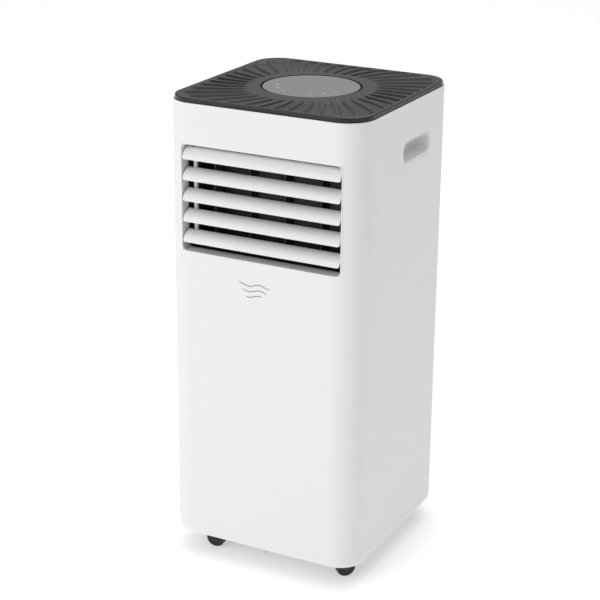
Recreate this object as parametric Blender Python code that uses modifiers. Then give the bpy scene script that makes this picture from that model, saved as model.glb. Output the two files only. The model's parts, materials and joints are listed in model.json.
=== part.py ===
# A portable air conditioner on casters: 300 x 300 mm on plan and 680 mm tall.
# X runs to the right as seen from the front, the front faces -Y, Z is up.
# The origin is on the floor, under the middle of the body.

import math

import bmesh
import bpy
from mathutils import Matrix, Vector

mm = 0.001

# Overall sizes
bodyWidth = 300 * mm
bodyDepth = 300 * mm
bodyHeight = 680 * mm
cornerRadius = 41 * mm
shellAboveWheels = 2 * mm  # from the top of the wheels to the shells' lower edge
seamSetback = 50 * mm  # from the front face to the joint between the two shells

# Walls and clearances
wall = 2.5 * mm
seatGap = 0.3 * mm  # between pieces that touch
slipGap = 0.4 * mm  # round a pin that turns or a piece that slides
airGap = 1.0 * mm  # beside a blade that moves in a duct

# Top plate and control disc
plateThickness = 6 * mm
plateInset = 2.5 * mm
plateMargin = 10 * mm
recessDepth = 3.2 * mm
recessCorner = 60 * mm
ribCount = 40
ribWidth = 3 * mm
ribCurl = math.radians(0.085)  # turn per millimetre outwards
plainRing = 82 * mm
discRadius = 69.5 * mm
discThickness = 4.4 * mm
skirtDepth = 10 * mm

# Air outlet and its louvres
outletWidth = 242 * mm
outletHeight = 151 * mm
outletBelowTop = 63.5 * mm
outletCorner = 7 * mm
lipDepth = 20 * mm
lipWall = 2 * mm
louvreCount = 5
louvrePitch = 29.45 * mm
firstLouvreEdge = 85 * mm  # from the top of the body to the first blade's lower edge
bladeRadius = 17.2 * mm
bladeThickness = 1.8 * mm
bladeEndGap = 1.7 * mm
bladePivot = Vector((10.5 * mm, 9.0 * mm))  # from the blade's lower edge, inwards and up
crankArm = Vector((12 * mm, 1.5 * mm))  # from the pivot to the link's pin
pinRadius = 2 * mm
smallPin = 1 * mm
linkFromSide = 10.3 * mm  # from the outlet's left side to the link's middle
linkWidth = 4.5 * mm

# Vertical vanes
vaneCount = 4
vaneFromSide = 40 * mm  # from the outlet's side to the first vane
vaneSetback = 32 * mm  # from the front face to the vanes' pivots
vaneFront = 8 * mm
vaneRear = 16 * mm
vaneThickness = 1.6 * mm
vaneArm = 12 * mm
vaneBar = 4 * mm
vanePin = 1.5 * mm

# Deck between the two halves, and the air duct of the upper half
deckBelowTop = 262 * mm
deckWall = 14 * mm
ductDepth = 65 * mm

# Coils
coilFromSide = 42 * mm  # from the body's side to the coil's end
coilDepth = 26 * mm
coilSetback = 32 * mm  # from the rear face to the coil's rear side

# Blowers: axis height is given below
blowerRadius = 64 * mm
blowerWidth = 55 * mm
fanRadius = 66 * mm
fanWidth = 50 * mm
scrollDepth = 80 * mm
scrollClearance = 6 * mm
scrollGrowth = 12 * mm  # from the tongue to the lowest point
wheelBlades = 18
motorRadius = 36 * mm
motorLength = 50 * mm
shaftRadius = 4 * mm

# Exhaust
exhaustRadius = 63 * mm
exhaustBelowDeck = 17 * mm  # from the deck to the top of the outlet
ductBesideOutlet = 9 * mm
ductBelowOutlet = -1 * mm

# Compressor
compressorRadius = 52 * mm
compressorHeight = 186 * mm
compressorFromSide = 68 * mm  # from the body's right side to its axis
compressorSetback = 68 * mm  # from the front face to its axis
footRadius = 55 * mm

# Casters
casterInset = Vector((45 * mm, 33 * mm))  # from the body's side and from its front or rear
casterTrail = 16 * mm
wheelRadius = 14 * mm
wheelWidth = 13 * mm
casterAngles = {"front_left": 5, "front_right": 45, "rear_left": -150, "rear_right": 120}

# Handles
handleLength = 90 * mm
handleHeight = 32 * mm
handleDepth = 28 * mm
handleY = 25 * mm
handleBelowTop = 74 * mm

# Heights that follow from the sizes above
plateBottom = bodyHeight - plateThickness
shellTop = plateBottom - seatGap
frontY = -bodyDepth / 2
rearY = bodyDepth / 2
sideX = bodyWidth / 2
seamY = frontY + seamSetback
shellBottom = 2 * wheelRadius + shellAboveWheels
outletZ = bodyHeight - outletBelowTop - outletHeight / 2
lipBack = frontY + lipDepth
deckZ = bodyHeight - deckBelowTop
baseFloor = shellBottom + 3 * mm
baseTop = baseFloor + 3 * mm
pivotY = frontY + seatGap + bladePivot.x
coilRear = rearY - coilSetback
coilFront = coilRear - coilDepth
scrollRear = coilFront - 8 * mm
scrollFront = scrollRear - scrollDepth
exhaustZ = deckZ - exhaustBelowDeck - exhaustRadius
exhaustWidth = 2 * (exhaustRadius + ductBesideOutlet)
ductTop = deckZ - 8 * mm
ductBottom = exhaustZ - exhaustRadius - ductBelowOutlet
blowerZ = deckZ + 102 * mm
blowerX = -6 * mm
fanZ = baseFloor + 129 * mm
fanX = -22 * mm
linkX = linkFromSide - outletWidth / 2
vanePitch = (outletWidth - 2 * vaneFromSide) / (vaneCount - 1)
coilWidth = bodyWidth - 2 * coilFromSide
compressorX = sideX - compressorFromSide


# ---------------------------------------------------------------- scene and materials
def clearScene():
    for item in list(bpy.data.objects):
        bpy.data.objects.remove(item, do_unlink=True)


def newCollection(name):
    collection = bpy.data.collections.new(name)
    bpy.context.scene.collection.children.link(collection)
    return collection


def finish(name, colour, roughness, metallic=0.0):
    material = bpy.data.materials.new(name)
    material.use_nodes = True
    shader = material.node_tree.nodes["Principled BSDF"]
    shader.inputs["Base Color"].default_value = (*colour, 1)
    shader.inputs["Roughness"].default_value = roughness
    shader.inputs["Metallic"].default_value = metallic
    material.diffuse_color = (*colour, 1)
    return material


# ---------------------------------------------------------------- shapes, as meshes
def meshOf(shape):
    bmesh.ops.triangulate(shape, faces=shape.faces)
    bmesh.ops.recalc_face_normals(shape, faces=shape.faces)
    mesh = bpy.data.meshes.new("shape")
    shape.to_mesh(mesh)
    shape.free()
    return mesh


def box(low, high):
    low, high = Vector(low), Vector(high)
    shape = bmesh.new()
    size = Matrix.Diagonal((*(high - low), 1))
    bmesh.ops.create_cube(shape, size=1, matrix=Matrix.Translation((low + high) / 2) @ size)
    return meshOf(shape)


def rod(start, end, radius, sides=16):
    """A cylinder between two points."""
    start, end = Vector(start), Vector(end)
    turn = (end - start).to_track_quat("Z", "Y").to_matrix().to_4x4()
    shape = bmesh.new()
    bmesh.ops.create_cone(
        shape, cap_ends=True, segments=sides, radius1=radius, radius2=radius,
        depth=(end - start).length, matrix=Matrix.Translation((start + end) / 2) @ turn)
    return meshOf(shape)


def merged(meshes):
    """Several shapes that don't touch, as one mesh."""
    shape = bmesh.new()
    for mesh in meshes:
        shape.from_mesh(mesh)
    return meshOf(shape)


def evaluated(item):
    bpy.context.view_layer.update()
    graph = bpy.context.evaluated_depsgraph_get()
    return bpy.data.meshes.new_from_object(item.evaluated_get(graph), depsgraph=graph)


def plainFaces(mesh):
    """Joins the faces that lie in one plane, which a Boolean leaves in pieces."""
    shape = bmesh.new()
    shape.from_mesh(mesh)
    bmesh.ops.remove_doubles(shape, verts=shape.verts, dist=2e-6)
    bmesh.ops.dissolve_limit(shape, angle_limit=math.radians(0.05), verts=shape.verts, edges=shape.edges)
    return meshOf(shape)


def meshFromTemporary(item, matrix=Matrix.Identity(4)):
    shape = bmesh.new()
    shape.from_mesh(evaluated(item))
    bmesh.ops.remove_doubles(shape, verts=shape.verts, dist=1e-7)
    bmesh.ops.transform(shape, matrix=matrix, verts=shape.verts)
    bpy.data.objects.remove(item)
    return meshOf(shape)


planes = {  # how an outline's two directions and its thickness lie in space
    "X": Matrix(((0, 0, 1, 0), (1, 0, 0, 0), (0, 1, 0, 0), (0, 0, 0, 1))),
    "Y": Matrix(((1, 0, 0, 0), (0, 0, 1, 0), (0, 1, 0, 0), (0, 0, 0, 1))),
    "Z": Matrix.Identity(4),
}


def plate(outlines, low, high, axis="Z"):
    """Flat outlines, the inner ones being holes, made thick from low to high along an axis."""
    curve = bpy.data.curves.new("outline", "CURVE")
    curve.dimensions = "2D"
    curve.fill_mode = "BOTH"
    curve.extrude = (high - low) / 2
    for outline in outlines:
        spline = curve.splines.new("POLY")
        spline.points.add(len(outline) - 1)
        for point, (u, v) in zip(spline.points, outline):
            point.co = (u, v, 0, 1)
        spline.use_cyclic_u = True
    item = bpy.data.objects.new("outline", curve)
    bpy.context.scene.collection.objects.link(item)
    return meshFromTemporary(item, planes[axis] @ Matrix.Translation((0, 0, (low + high) / 2)))


def turned(profile, centre, axis="Z", steps=32):
    """A profile of (radius, height) points, its outer side running down, turned about an axis."""
    mesh = bpy.data.meshes.new("profile")
    closed = all(radius > 0 for radius, height in profile)
    edges = [(i, i + 1) for i in range(len(profile) - 1)] + ([(len(profile) - 1, 0)] if closed else [])
    mesh.from_pydata([(radius, 0, height) for radius, height in profile], edges, [])
    item = bpy.data.objects.new("profile", mesh)
    bpy.context.scene.collection.objects.link(item)
    screw = item.modifiers.new("Turn", "SCREW")
    screw.steps = screw.render_steps = steps
    screw.use_merge_vertices = True
    screw.merge_threshold = 1e-5
    return meshFromTemporary(item, Matrix.Translation(centre) @ planes[axis])


def tube(points, radius, resolution=2, detail=3):
    """A round tube along a smooth route through the given points."""
    route = [Vector(point) for point in points]
    curve = bpy.data.curves.new("route", "CURVE")
    curve.dimensions = "3D"
    curve.bevel_depth = radius
    curve.bevel_resolution = resolution
    curve.use_fill_caps = True
    smooth = []
    tangents = []
    for i, point in enumerate(route):
        before, after = route[max(i - 1, 0)], route[min(i + 1, len(route) - 1)]
        sides = [(point - other).length for other in (before, after) if other != point]
        tangents.append((after - before).normalized() * min(sides))
    for i in range(len(route) - 1):
        for step in range(detail):
            t = step / detail
            smooth.append((2 * t**3 - 3 * t**2 + 1) * route[i] + (t**3 - 2 * t**2 + t) * tangents[i]
                          + (3 * t**2 - 2 * t**3) * route[i + 1] + (t**3 - t**2) * tangents[i + 1])
    smooth.append(route[-1])
    spline = curve.splines.new("POLY")
    spline.points.add(len(smooth) - 1)
    for point, place in zip(spline.points, smooth):
        point.co = (*place, 1)
    item = bpy.data.objects.new("route", curve)
    bpy.context.scene.collection.objects.link(item)
    return meshFromTemporary(item)


# ---------------------------------------------------------------- outlines
def arc(x, y, radius, start, end, steps):
    return [(x + radius * math.cos(math.radians(start + (end - start) * i / steps)),
             y + radius * math.sin(math.radians(start + (end - start) * i / steps)))
            for i in range(steps + 1)]


def circle(x, y, radius, steps=32):
    return arc(x, y, radius, 0, 360, steps)[:-1]


def roundRectangle(width, depth, radius, x=0, y=0, steps=4):
    a, b = width / 2 - radius, depth / 2 - radius
    return (arc(x + a, y + b, radius, 0, 90, steps) + arc(x - a, y + b, radius, 90, 180, steps)
            + arc(x - a, y - b, radius, 180, 270, steps) + arc(x + a, y - b, radius, 270, 360, steps))


def bodyOutline(inset, steps=5):
    return roundRectangle(bodyWidth - 2 * inset, bodyDepth - 2 * inset, cornerRadius - inset, steps=steps)


def shellBand(sign, end):
    """The U-shaped wall of one shell on plan: sign is -1 for the front and +1 for the rear."""
    def side(inset):
        x, y, radius = sideX - inset, bodyDepth / 2 - inset, cornerRadius - inset
        quarter = (arc(x - radius, y - radius, radius, 0, 90, 6)
                   + arc(radius - x, y - radius, radius, 90, 180, 6))
        return [(x, sign * end)] + quarter + [(-x, sign * end)]
    return [(x, sign * y) for x, y in side(0) + side(wall)[::-1]]


def reach(angle, half, radius):
    """How far a ray from the middle runs inside a rounded rectangle of these half sizes."""
    near, far = 0, half.length
    for _ in range(30):
        middle = (near + far) / 2
        x = max(abs(middle * math.cos(angle)) - half.x + radius, 0)
        y = max(abs(middle * math.sin(angle)) - half.y + radius, 0)
        if math.hypot(x, y) < radius:
            near = middle
        else:
            far = middle
    return near


# ---------------------------------------------------------------- parts
def helper(mesh):
    item = bpy.data.objects.new("cutter", mesh)
    helpers.objects.link(item)
    item.hide_render = True
    item.display_type = "WIRE"
    return item


def part(name, base, material, *steps, origin=(0, 0, 0), solver="EXACT"):
    """A part from a base shape and steps of ("+", shape) and ("-", shape), with its origin where given."""
    mesh = base
    item = bpy.data.objects.new(name, mesh)
    parts.objects.link(item)
    for sign, other in steps:
        joined = item.modifiers.new("Join" if sign == "+" else "Cut", "BOOLEAN")
        joined.operation = "UNION" if sign == "+" else "DIFFERENCE"
        joined.solver = solver
        joined.object = helper(other)
    if steps:
        mesh = plainFaces(evaluated(item))
        item.modifiers.clear()
        item.data = mesh
    origin = Vector(origin)
    mesh.transform(Matrix.Translation(-origin))
    item.location = origin
    mesh.materials.clear()
    mesh.materials.append(material)
    mesh.shade_smooth()
    mesh.set_sharp_from_angle(angle=math.radians(35))
    return item


def copy(item, name, location, turn=0):
    other = bpy.data.objects.new(name, item.data)
    parts.objects.link(other)
    other.location = location
    other.rotation_euler = (0, 0, turn)
    return other


# ---------------------------------------------------------------- outer shells
def makeFrontPanel():
    bores = []
    for side in (-1, 1):
        inner, outer = side * (outletWidth / 2 - lipWall), side * (outletWidth / 2 + 2 * lipWall)
        for z in louvrePivots():
            bores.append(rod((inner, pivotY, z), (outer, pivotY, z), pinRadius + slipGap, 8))
    lip = roundRectangle(outletWidth + 2 * lipWall, outletHeight + 2 * lipWall,
                         outletCorner + lipWall, 0, outletZ)
    opening = roundRectangle(outletWidth, outletHeight, outletCorner, 0, outletZ)
    part("front_panel", plate([shellBand(-1, seamY - seatGap / 2)], shellBottom, shellTop),
         paint["white"],
         ("+", plate([lip], frontY + wall / 2, lipBack, "Y")),
         ("-", plate([opening], frontY - wall, lipBack + wall, "Y")),
         ("-", merged(bores)))


def grilleSlots(halfWidth, bottom, top, pitch, slotHeight, columns=2, bar=8 * mm):
    """Horizontal slots through the rear wall, in columns."""
    rows = int((top - bottom) / pitch)
    span = (2 * halfWidth - (columns - 1) * bar) / columns
    slots = []
    for row in range(rows):
        z = (bottom + top) / 2 + (row - (rows - 1) / 2) * pitch
        for column in range(columns):
            x = -halfWidth + column * (span + bar)
            slots.append(box((x, rearY - 2 * wall, z - slotHeight / 2),
                             (x + span, rearY + wall, z + slotHeight / 2)))
    return merged(slots)


filterHalf = sideX - 38 * mm
filterBottom = deckZ + 26 * mm
filterTop = bodyHeight - 34 * mm
grilleBottom = baseTop + 44 * mm
grilleTop = ductBottom - 12 * mm
plugRadius = 8.5 * mm
upperPlug = Vector((-95 * mm, rearY, deckZ + 9 * mm))
lowerPlug = Vector((60 * mm, rearY, baseTop + 9 * mm))
glandPlace = Vector((-100 * mm, rearY, ductBottom + 12 * mm))


def makeRearShell():
    handleZ = bodyHeight - handleBelowTop
    handleHole = roundRectangle(handleLength, handleHeight, 12 * mm, handleY, handleZ)
    roundHoles = merged([rod((place.x, rearY - 3 * wall, place.z), (place.x, rearY + wall, place.z),
                             plugRadius + slipGap, 12)
                         for place in (upperPlug, lowerPlug, glandPlace)])
    exhaust = rod((0, rearY - 3 * wall, exhaustZ), (0, rearY + wall, exhaustZ),
                  exhaustRadius + 8 * mm + seatGap, 28)
    strips, bridges = [], []
    tongue = sideX - wall - seatGap
    for low, high in ((baseFloor + 34 * mm, deckZ - 6 * mm), (deckZ + 24 * mm, shellTop - 16 * mm)):
        for side in (-1, 1):
            strip = sorted((side * tongue, side * (tongue - 1.6 * mm)))
            bridge = sorted((side * (tongue + 1.2 * mm), side * (tongue - 1 * mm)))
            strips.append(box((strip[0], seamY - 9 * mm, low), (strip[1], seamY + 8 * mm, high)))
            bridges.append(box((bridge[0], seamY + 3 * mm, low + 1 * mm),
                               (bridge[1], seamY + 7 * mm, high - 1 * mm)))
    part("rear_shell", plate([shellBand(1, seamY + seatGap / 2)], shellBottom, shellTop),
         paint["white"],
         ("+", merged(bridges)),
         ("+", merged(strips)),
         ("-", plate([handleHole], -sideX - wall, sideX + wall, "X")),
         ("-", box((-filterHalf, rearY - 2 * wall, filterBottom), (filterHalf, rearY + wall, filterTop))),
         ("-", grilleSlots(filterHalf, grilleBottom, grilleTop, 18 * mm, 8 * mm)),
         ("-", exhaust),
         ("-", roundHoles))


def makeHandles():
    z = bodyHeight - handleBelowTop
    low, high = handleLength - 2 * seatGap, handleHeight - 2 * seatGap
    outer = roundRectangle(low, high, 12 * mm - seatGap, handleY, z)
    inner = roundRectangle(low - 4 * mm, high - 4 * mm, 10 * mm - seatGap, handleY, z)
    for name, side in (("handle_left", -1), ("handle_right", 1)):
        ends = sorted((side * (sideX - 0.2 * mm), side * (sideX - handleDepth)))
        hollow = sorted((side * (sideX + wall), side * (sideX - handleDepth + 2 * mm)))
        part(name, plate([outer], *ends, "X"), paint["white"], ("-", plate([inner], *hollow, "X")))


def makeBaseTray():
    outside = wall + slipGap
    bosses = []
    bores = []
    for x, y in casterPlaces().values():
        bosses.append(rod((x, y, baseFloor + 1 * mm), (x, y, baseFloor + 17 * mm), 9 * mm, 14))
        bores.append(rod((x, y, baseFloor - 5 * mm), (x, y, baseFloor + 13 * mm), 4 * mm + slipGap, 12))
    drain = lowerPlug
    boss = box((drain.x - 10 * mm, rearY - outside - 9 * mm, baseFloor + 1 * mm),
               (drain.x + 10 * mm, rearY - outside - 1 * mm, drain.z + 9 * mm))
    part("base_tray", plate([bodyOutline(outside)], baseFloor, baseFloor + 28 * mm), paint["grey"],
         ("-", plate([bodyOutline(outside + wall)], baseTop, baseFloor + 30 * mm)),
         ("+", merged(bosses)),
         ("+", boss),
         ("-", merged(bores)),
         ("-", rod((drain.x, rearY - 40 * mm, drain.z), (drain.x, rearY, drain.z), 5 * mm, 16)),
         solver="MANIFOLD")  # EXACT leaves gaps at some widths


def makeDripTray():
    outside = wall + slipGap
    top = deckZ + deckWall + 4 * mm
    drain = upperPlug
    hole = pipeHole()
    part("drip_tray", plate([bodyOutline(outside)], deckZ, top), paint["grey"],
         ("-", plate([bodyOutline(outside + 2 * mm)], deckZ + 2.5 * mm, top + 1 * mm)),
         ("+", box((drain.x - 10 * mm, rearY - outside - 9 * mm, deckZ + 1 * mm),
                   (drain.x + 10 * mm, rearY - outside - 1 * mm, top - 1 * mm))),
         ("+", box((hole[0][0] - 2 * mm, hole[0][1] - 2 * mm, deckZ + 1 * mm),
                   (hole[1][0] + 2 * mm, hole[1][1] + 2 * mm, top - 2 * mm))),
         ("-", box((*hole[0], deckZ - 5 * mm), (*hole[1], top + 5 * mm))),
         ("-", rod((drain.x, rearY - 40 * mm, drain.z), (drain.x, rearY, drain.z), 5 * mm, 16)))


def pipeHole():
    return (sideX - 30 * mm, coilFront - 32 * mm), (sideX - 9 * mm, coilFront + 8 * mm)


# ---------------------------------------------------------------- top
recessHalf = Vector((sideX, rearY)) - Vector((1, 1)) * (plateInset + plateMargin)


def makeTopCover():
    outer = roundRectangle(bodyWidth - 2 * plateInset, bodyDepth - 2 * plateInset,
                           cornerRadius - plateInset, steps=6)
    recess = roundRectangle(2 * recessHalf.x, 2 * recessHalf.y, recessCorner, steps=5)
    floor = bodyHeight - recessDepth
    rim = wall + slipGap
    pocket = discRadius + airGap
    depth = discThickness + 0.4 * mm + 0.4 * mm
    ribs = [ribOutline(2 * math.pi * i / ribCount + math.radians(1)) for i in range(ribCount)]
    part("top_cover", plate([outer], plateBottom, bodyHeight), paint["anthracite"],
         ("+", rod((0, 0, plateBottom - skirtDepth), (0, 0, plateBottom + 0.6 * mm),
                   pocket + 3 * mm, 36)),
         ("+", plate([bodyOutline(rim), bodyOutline(rim + 2 * mm)], plateBottom - skirtDepth,
                     plateBottom + 1 * mm)),
         ("-", rod((0, 0, bodyHeight - depth), (0, 0, bodyHeight + 1 * mm), pocket, 36)),
         ("-", rod((0, 0, plateBottom - skirtDepth + 2 * mm), (0, 0, bodyHeight),
                   pocket - 4.5 * mm, 36)),
         ("-", plate([recess, circle(0, 0, plainRing, 40)], floor, bodyHeight + 1 * mm)),
         ("+", plate(ribs, floor - 0.8 * mm, bodyHeight - 0.2 * mm)))


def ribOutline(angle):
    """One swirling rib of the top plate, from the plain ring to the margin."""
    start = plainRing - 1 * mm
    end = reach(angle, recessHalf, recessCorner)
    end = reach(angle - ribCurl * (end - start) / mm, recessHalf, recessCorner) + 1 * mm
    left, right = [], []
    for radius in (start, end):
        turn = angle - ribCurl * (radius - start) / mm
        along = Vector((math.cos(turn), math.sin(turn)))
        across = Vector((-math.sin(turn), math.cos(turn)))
        left.append(tuple(along * radius + across * ribWidth / 2))
        right.append(tuple(along * radius - across * ribWidth / 2))
    return left + right[::-1]


def makeControls():
    top = bodyHeight - 0.4 * mm
    bevel = 0.5 * mm
    part("control_disc",
         turned([(0, top), (discRadius - bevel, top), (discRadius, top - bevel),
                 (discRadius, top - discThickness), (0, top - discThickness)], (0, 0, 0), steps=36),
         paint["disc"])
    low = plateBottom - skirtDepth + 2 * mm + seatGap
    radius = discRadius + airGap - 4.5 * mm - 1 * mm
    chips = [box((-12 * mm, -8 * mm, low + 1 * mm), (12 * mm, 12 * mm, low + 4 * mm)),
             box((20 * mm, 16 * mm, low + 1 * mm), (34 * mm, 26 * mm, low + 5 * mm))]
    part("display_board", rod((0, 0, low), (0, 0, low + 1.6 * mm), radius, 24), paint["board"],
         ("+", merged(chips)))


# ---------------------------------------------------------------- louvres
def louvrePivots():
    first = bodyHeight - firstLouvreEdge + bladePivot.y
    return [first - i * louvrePitch for i in range(louvreCount)]


def bladeArc(pivot, inset, start, end, steps):
    """An arc along the blade's section in Y and Z, from its steep lower edge to its level rear edge."""
    x, y = pivot.x - bladePivot.x + bladeRadius * 0.996, pivot.y - bladePivot.y - 1.6 * mm
    return arc(x, y, bladeRadius - inset, start, end, steps)


def makeLouvres():
    half = outletWidth / 2 - bladeEndGap  # clear of the opening's round corners at full tilt
    pinEnd = outletWidth / 2 + lipWall + 0.6 * mm
    web = 1.4 * mm
    room = 0.45 * mm
    for index, z in enumerate(louvrePivots()):
        pivot = Vector((pivotY, z))
        pin = Vector((pivotY + crankArm.x, z + crankArm.y))
        section = bladeArc(pivot, 0, 175, 90, 5) + bladeArc(pivot, bladeThickness, 90, 175, 5)
        ends = [rod((side * (half - 3 * mm), pivotY, z), (side * pinEnd, pivotY, z), pinRadius, 8)
                for side in (-1, 1)]
        cheeks = []
        for side in (-1, 1):
            x = side * (half - 2 * mm)
            outline = bladeArc(pivot, bladeThickness / 2, 160, 100, 3)
            outline.append((pivotY + 3.8 * mm, z - 3.2 * mm))
            cheeks.append(plate([outline], x - 0.8 * mm, x + 0.8 * mm, "X"))
        webs = []
        for side in (-1, 1):
            x = linkX + side * (linkWidth / 2 + room + web / 2)
            outline = [(pivot.x, z + 3.5 * mm), (pivot.x + 5.5 * mm, z + 6.0 * mm),
                       *arc(pin.x, pin.y, 2 * mm, 60, -120, 3)]
            webs.append(plate([outline], x - web / 2, x + web / 2, "X"))
        reachOut = linkWidth / 2 + room + web / 2
        cross = rod((linkX - reachOut, pin.x, pin.y), (linkX + reachOut, pin.x, pin.y), smallPin, 6)
        notch = box((linkX - linkWidth / 2 - room, pivotY + 3.6 * mm, z),
                    (linkX + linkWidth / 2 + room, pivotY + 20 * mm, z + 15 * mm))
        part(f"louvre_{index + 1}", plate([section], -half, half, "X"), paint["white"],
             ("-", notch), ("+", merged(cheeks)), ("+", merged(ends)), ("+", merged(webs)), ("+", cross),
             origin=(0, pivotY, z), solver="MANIFOLD")  # EXACT leaves gaps round these small pins


def makeLouvreLink():
    pins = [(pivotY + crankArm.x, z + crankArm.y) for z in louvrePivots()]
    y, top = pins[0]
    bottom = pins[-1][1]
    half = linkWidth / 2
    outline = arc(y, top, half, 0, 180, 6) + arc(y, bottom, half, 180, 360, 6)
    holes = [circle(*pin, smallPin + slipGap, 8) for pin in pins]
    part("louvre_link", plate([outline, *holes], linkX - half, linkX + half, "X"), paint["white"],
         origin=(linkX, y, top))


def makeLouvreMotor():
    z = louvrePivots()[2]
    start = outletWidth / 2 + lipWall + 1.0 * mm
    y = pivotY + 19 * mm
    case = arc(pivotY + 9 * mm, z, 9 * mm, 90, 270, 6) + arc(y, z, 11 * mm, -90, 90, 6)
    part("louvre_motor", plate([case], start, start + 5.5 * mm, "X"), paint["grey"],
         ("+", rod((start + 3 * mm, y, z), (start + 16.5 * mm, y, z), 10 * mm, 16)))


# ---------------------------------------------------------------- outlet duct and vanes
vaneY = frontY + vaneSetback
vaneBottom = outletZ - outletHeight / 2 + 1 * mm
vaneTop = outletZ + outletHeight / 2 - 1 * mm
ductFront = lipBack + seatGap
ductBack = ductFront + ductDepth
tunnelX = (blowerX - blowerRadius - 24 * mm, blowerX + blowerRadius + 20 * mm)
tunnelTop = plateBottom - 24 * mm
tunnelBottom = tunnelTop - 54 * mm


def vaneXs():
    return [(i - (vaneCount - 1) / 2) * vanePitch for i in range(vaneCount)]


def makeOutletDuct():
    half = outletWidth / 2
    low, high = outletZ - outletHeight / 2, outletZ + outletHeight / 2
    split = vaneY + vaneRear + 9 * mm
    t = 2 * mm
    holes = [rod((x, vaneY, z - 5 * mm), (x, vaneY, z + 5 * mm), vanePin + slipGap, 8)
             for x in vaneXs() for z in (low, high)]
    left, right = tunnelX
    part("outlet_duct", box((-half - t, ductFront, low - t), (half + t, split + t, high + t)),
         paint["black"],
         ("+", box((-half - t, split, low - t), (half + t, ductBack, tunnelTop + t))),
         ("+", box((left - t, ductBack - t / 2, tunnelBottom - t),
                   (right + t, scrollFront - seatGap, tunnelTop + t))),
         ("-", box((-half, ductFront - t, low), (half, split + 2 * t, high))),
         ("-", box((-half, split + t, low), (half, ductBack - t, tunnelTop))),
         ("-", box((left, ductBack - 2 * t, tunnelBottom), (right, scrollFront + t, tunnelTop))),
         ("-", merged(holes)))


def makeVanes():
    t = vaneThickness / 2
    barZ = outletZ
    pinY = vaneY + vaneArm
    for index, x in enumerate(vaneXs()):
        notch = box((x - 5 * mm, pinY - 3.6 * mm, barZ - vaneBar / 2 - 0.5 * mm),
                    (x + 5 * mm, vaneY + vaneRear + 5 * mm, barZ + vaneBar / 2 + 0.5 * mm))
        blade = box((x - t, vaneY - vaneFront, vaneBottom), (x + t, vaneY + vaneRear, vaneTop))
        part(f"vane_{index + 1}", blade, paint["black"], ("-", notch),
             ("+", rod((x, vaneY, vaneBottom - 2.5 * mm), (x, vaneY, vaneBottom + 4 * mm), vanePin, 8)),
             ("+", rod((x, vaneY, vaneTop - 4 * mm), (x, vaneY, vaneTop + 2.5 * mm), vanePin, 8)),
             ("+", rod((x, pinY, barZ - vaneBar), (x, pinY, barZ + vaneBar), smallPin, 6)),
             origin=(x, vaneY, barZ))
    xs = vaneXs()
    end = 3.5 * mm
    outline = [(xs[0] - end, pinY - 2.2 * mm), (xs[-1] + end, pinY - 2.2 * mm),
               (xs[-1] + end, pinY + 2.2 * mm), (xs[0] - end, pinY + 2.2 * mm)]
    holes = [circle(x, pinY, smallPin + slipGap, 8) for x in xs]
    part("vane_link", plate([outline, *holes], barZ - vaneBar / 2, barZ + vaneBar / 2), paint["black"],
         origin=(xs[0], pinY, barZ))


# ---------------------------------------------------------------- blowers
def scrollOutline(x, z, radius, top, left, offset=0):
    """A volute whose outlet points up: it widens anticlockwise from its tongue."""
    start, tongue = 130, radius + scrollClearance
    widen = scrollGrowth / (270 - start)
    points = [(left - offset, top)]
    angle = start
    while angle <= 360:
        far = tongue + widen * (angle - start) + offset
        points.append((x + far * math.cos(math.radians(angle)), z + far * math.sin(math.radians(angle))))
        angle += 16.4
    points.append((points[-1][0], top))
    return points


def makeScroll(name, x, z, radius, top, left, inlet, extra, material):
    t = 2 * mm
    outer = scrollOutline(x, z, radius, top, left, t)
    inner = scrollOutline(x, z, radius, top, left)
    outer = [(u, min(v, top)) for u, v in outer]
    return part(name, plate([outer], scrollFront, scrollRear, "Y"), material,
                ("-", plate([inner], scrollFront + t, scrollRear - t, "Y")),
                ("-", rod((x, scrollRear - 2 * t, z), (x, scrollRear + t, z), inlet, 24)),
                ("-", rod((x, scrollFront - t, z), (x, scrollFront + 2 * t, z), 12 * mm, 16)),
                *extra)


def makeWheel(name, x, z, radius, width, material):
    """A centrifugal wheel on its axis along Y: a disc with a hub, a ring, and blades between them."""
    front = scrollFront + 11 * mm
    back = front + width
    disc = turned([(radius, 2 * mm), (radius, 0), (10 * mm, 0), (shaftRadius + seatGap, 0),
                   (shaftRadius + seatGap, 18 * mm), (10 * mm, 18 * mm), (14 * mm, 2 * mm)],
                  (x, front, z), "Y", 24)
    ring = turned([(radius, 0), (radius, -2.5 * mm), (radius - 14 * mm, -2.5 * mm),
                   (radius - 14 * mm, 0)], (x, back, z), "Y", 24)
    blades = []
    for i in range(wheelBlades):
        turn = Matrix.Rotation(2 * math.pi * i / wheelBlades, 4, "Y")
        lean = Matrix.Rotation(math.radians(28), 4, "Y")
        place = Matrix.Translation((radius - 8 * mm, 0, 0))
        blade = box((-6 * mm, 1 * mm, -0.8 * mm), (6 * mm, width - 1.2 * mm, 0.8 * mm))
        blade.transform(Matrix.Translation((x, front, z)) @ turn @ place @ lean)
        blades.append(blade)
    part(name, disc, material, ("+", merged(blades)), ("+", ring), origin=(x, front, z))


def makeMotor(name, x, z, material):
    """A round motor with a bore for its shaft and a flange on the scroll's front plate."""
    back = scrollFront - seatGap
    bore = shaftRadius + slipGap
    flange = motorRadius + 10 * mm
    part(name, turned([(flange, 0), (flange, -3 * mm), (motorRadius, -3 * mm),
                       (motorRadius, 3 * mm - motorLength), (motorRadius - 4 * mm, -motorLength),
                       (bore, -motorLength), (bore, 0)], (x, back, z), "Y", 20),
         material, origin=(x, back, z))


def makeShaft(name, x, z):
    front = scrollFront - seatGap - motorLength + 4 * mm
    back = scrollFront + 11 * mm + 24 * mm
    part(name, rod((x, front, z), (x, back, z), shaftRadius, 10), paint["steel"], origin=(x, front, z))


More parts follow.
